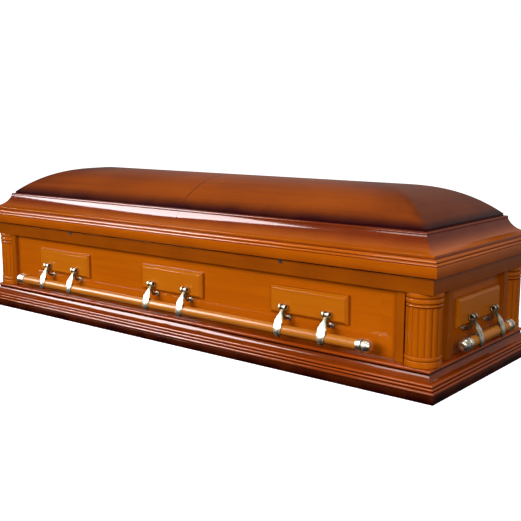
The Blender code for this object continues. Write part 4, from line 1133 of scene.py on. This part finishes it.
def makeHandles():
    castings = {kind: linked(kind + "Casting", mesh) for kind, mesh in (("arm", armMesh()), ("ear", earMesh()))}
    tree = makePairTree()
    for side, (x, y), turn, stations in sideFrames():
        pivot = (x + handle["pivotOut"] * math.sin(turn), y - handle["pivotOut"] * math.cos(turn),
                 case["baseTop"] + handle["pivotUp"])
        place = Matrix.Translation(pivot) @ Matrix.Rotation(turn, 4, "Z")
        short = len(stations) == 1
        half, spread = (handle["halfShort"], handle["endSpread"]) if short else (handle["halfLong"], handle["spread"])
        rod, caps = poleMeshes(half)
        body = "handle_" + side
        for mesh, part, metal, slot in ((rod, "rod", poleWood, "pole_wood"), (caps, "caps", paleBrass, "pale_brass")):
            mesh.transform(place @ Matrix.Translation((0, -handle["forward"], -handle["drop"])))
            addPiece(f"pole_{side}_{part}", mesh, metal, body, ["pole_" + side])
        words = [joinedName(side, name) for name, _ in stations]
        for kind, carrier in (("arm", body), ("ear", "case")):
            mesh = treeMesh(tree, kind, {"Casting": castings[kind], "Groups": len(stations),
                                         "Group Spacing": plaque["spacing"], "Spread": spread, "Metal": paleBrass})
            nodes = [f"{kind}_{word}_{hand}" for word in words for hand in "ab"]
            if kind == "arm" and side == "back":  # the plainer back arms belong to the pole's node and stand out less
                mesh.transform(Matrix.Diagonal((1, handle["backDepth"], 1, 1)))
                nodes = ["pole_back"]
            mesh.transform(place)
            mesh.set_sharp_from_angle(angle=math.radians(45))
            addPiece(f"{kind}s_{side}", mesh, paleBrass, carrier, nodes)
    for casting in castings.values():
        bpy.data.objects.remove(casting, do_unlink=True)


makeHandles()
print("handles made")


# Floor, lights and camera

studio = {"floorSize": 60.0, "floorDepth": 0.0005, "floorColour": (0.93, 0.93, 0.93), "floorGlow": 0.9, "world": 0.46,
          "behind": (0.10, 0.80, 0.03, 1.0), "above": (0.2, 0.95, 0.0, 0.80), "under": (-0.25, 0.02, 0.10, 1.0),
          "beside": (0.25, 1.0, 0.0, 0.55)}  # from and to along an axis, and the light there
lights = {  # place, aim, size, watts and colour
    "keyLight": ((-0.6, -5.0, 2.25), (-0.1, 0, 0.3), (3.0, 2.0), 232.0, (1.0, 0.98, 0.95)),
    "glossPanel": ((-2.9, -2.45, 2.0), (-0.2, -0.3, 0.4), (1.7, 2.5), 390.0, (1.0, 0.93, 0.95)),
    "topLight": ((1.3, -0.5, 4.2), (0.2, 0, 0), (2.6, 2.5), 38.0, (1, 1, 1)),
    "sideFill": ((3.6, -3.0, 1.9), (0.8, 0, 0.3), (1.6, 1.6), 72.0, (1, 1, 1))}
view = {"yaw": 38.778, "pitch": 9.540, "roll": 0.1775, "place": (2.1098, -2.4418, 0.7951), "lens": 58.97,
        "sensor": 36}


def makeFloor():
    mesh = bpy.data.meshes.new("floor")
    s, z = studio["floorSize"] / 2, -studio["floorDepth"]
    mesh.from_pydata([(-s, -s, z), (s, -s, z), (s, s, z), (-s, s, z)], [], [(0, 1, 2, 3)])
    floor = linked("floor", mesh)
    material = bpy.data.materials.new("paleFloor")
    material.use_nodes = True
    shader = material.node_tree.nodes["Principled BSDF"]
    for key, value in (("Base Color", (*studio["floorColour"], 1)), ("Roughness", 0.9),
                       ("Emission Color", (1, 1, 1, 1)), ("Emission Strength", studio["floorGlow"])):
        shader.inputs[key].default_value = value
    mesh.materials.append(material)
    floor.visible_glossy = False
    floor.visible_diffuse = False


def addArea(name, place, aim, size, energy, colour):
    data = bpy.data.lights.new(name, "AREA")
    data.shape = "RECTANGLE"
    data.size, data.size_y = size
    data.energy = energy
    data.color = colour
    lamp = linked(name, data)
    lamp.location = place
    lamp.rotation_euler = (Vector(aim) - Vector(place)).to_track_quat("-Z", "Y").to_euler()
    return lamp


def makeWorld():
    # white to the camera; for light and gloss, a pale wall behind the casket and a dark room before it
    world = bpy.data.worlds.new("studioRoom")
    world.use_nodes = True
    bpy.context.scene.world = world
    tree = world.node_tree
    tree.nodes.clear()
    way = addNode(tree, "TexCoord").outputs["Generated"]
    parts = addNode(tree, "SeparateXYZ", None, i0=way).outputs
    behind, above, under, beside = (rangeNode(tree, parts[axis], *studio[name]) for name, axis in (
        ("behind", 1), ("above", 2), ("under", 2), ("beside", 0)))
    lit = mathNode(tree, "MAXIMUM", mathNode(tree, "MAXIMUM", behind, above), beside)
    strength = times(tree, times(tree, lit, under), studio["world"])
    room, white = (addNode(tree, "Background", None, Color=(1, 1, 1, 1), Strength=value).outputs[0]
                   for value in (strength, 1.0))
    seen = addNode(tree, "LightPath").outputs["Is Camera Ray"]
    both = addNode(tree, "MixShader", None, i0=seen, i1=room, i2=white).outputs[0]
    tree.links.new(both, tree.nodes.new("ShaderNodeOutputWorld").inputs["Surface"])


def makeCamera():
    yaw, pitch, roll = (math.radians(view[name]) for name in ("yaw", "pitch", "roll"))
    ahead = Vector((-math.sin(yaw) * math.cos(pitch), math.cos(yaw) * math.cos(pitch), -math.sin(pitch)))
    right = ahead.cross(Vector((0, 0, 1))).normalized()
    up = right.cross(ahead)
    tilted = right * math.cos(roll) + up * math.sin(roll)
    upright = up * math.cos(roll) - right * math.sin(roll)
    matrix = Matrix((tilted, upright, -ahead)).transposed().to_4x4()
    matrix.translation = Vector(view["place"])
    camera = linked("camera", bpy.data.cameras.new("camera"))
    camera.matrix_world = matrix
    camera.data.lens = view["lens"]
    camera.data.sensor_width = view["sensor"]
    bpy.context.scene.camera = camera


makeFloor()
makeWorld()
lamps = {name: addArea(name, *values) for name, values in lights.items()}
lamps["glossPanel"].visible_diffuse = False  # it only puts highlights on the lacquer and the metal
makeCamera()
bpy.context.scene.view_settings.view_transform = "Standard"
print("studio made")
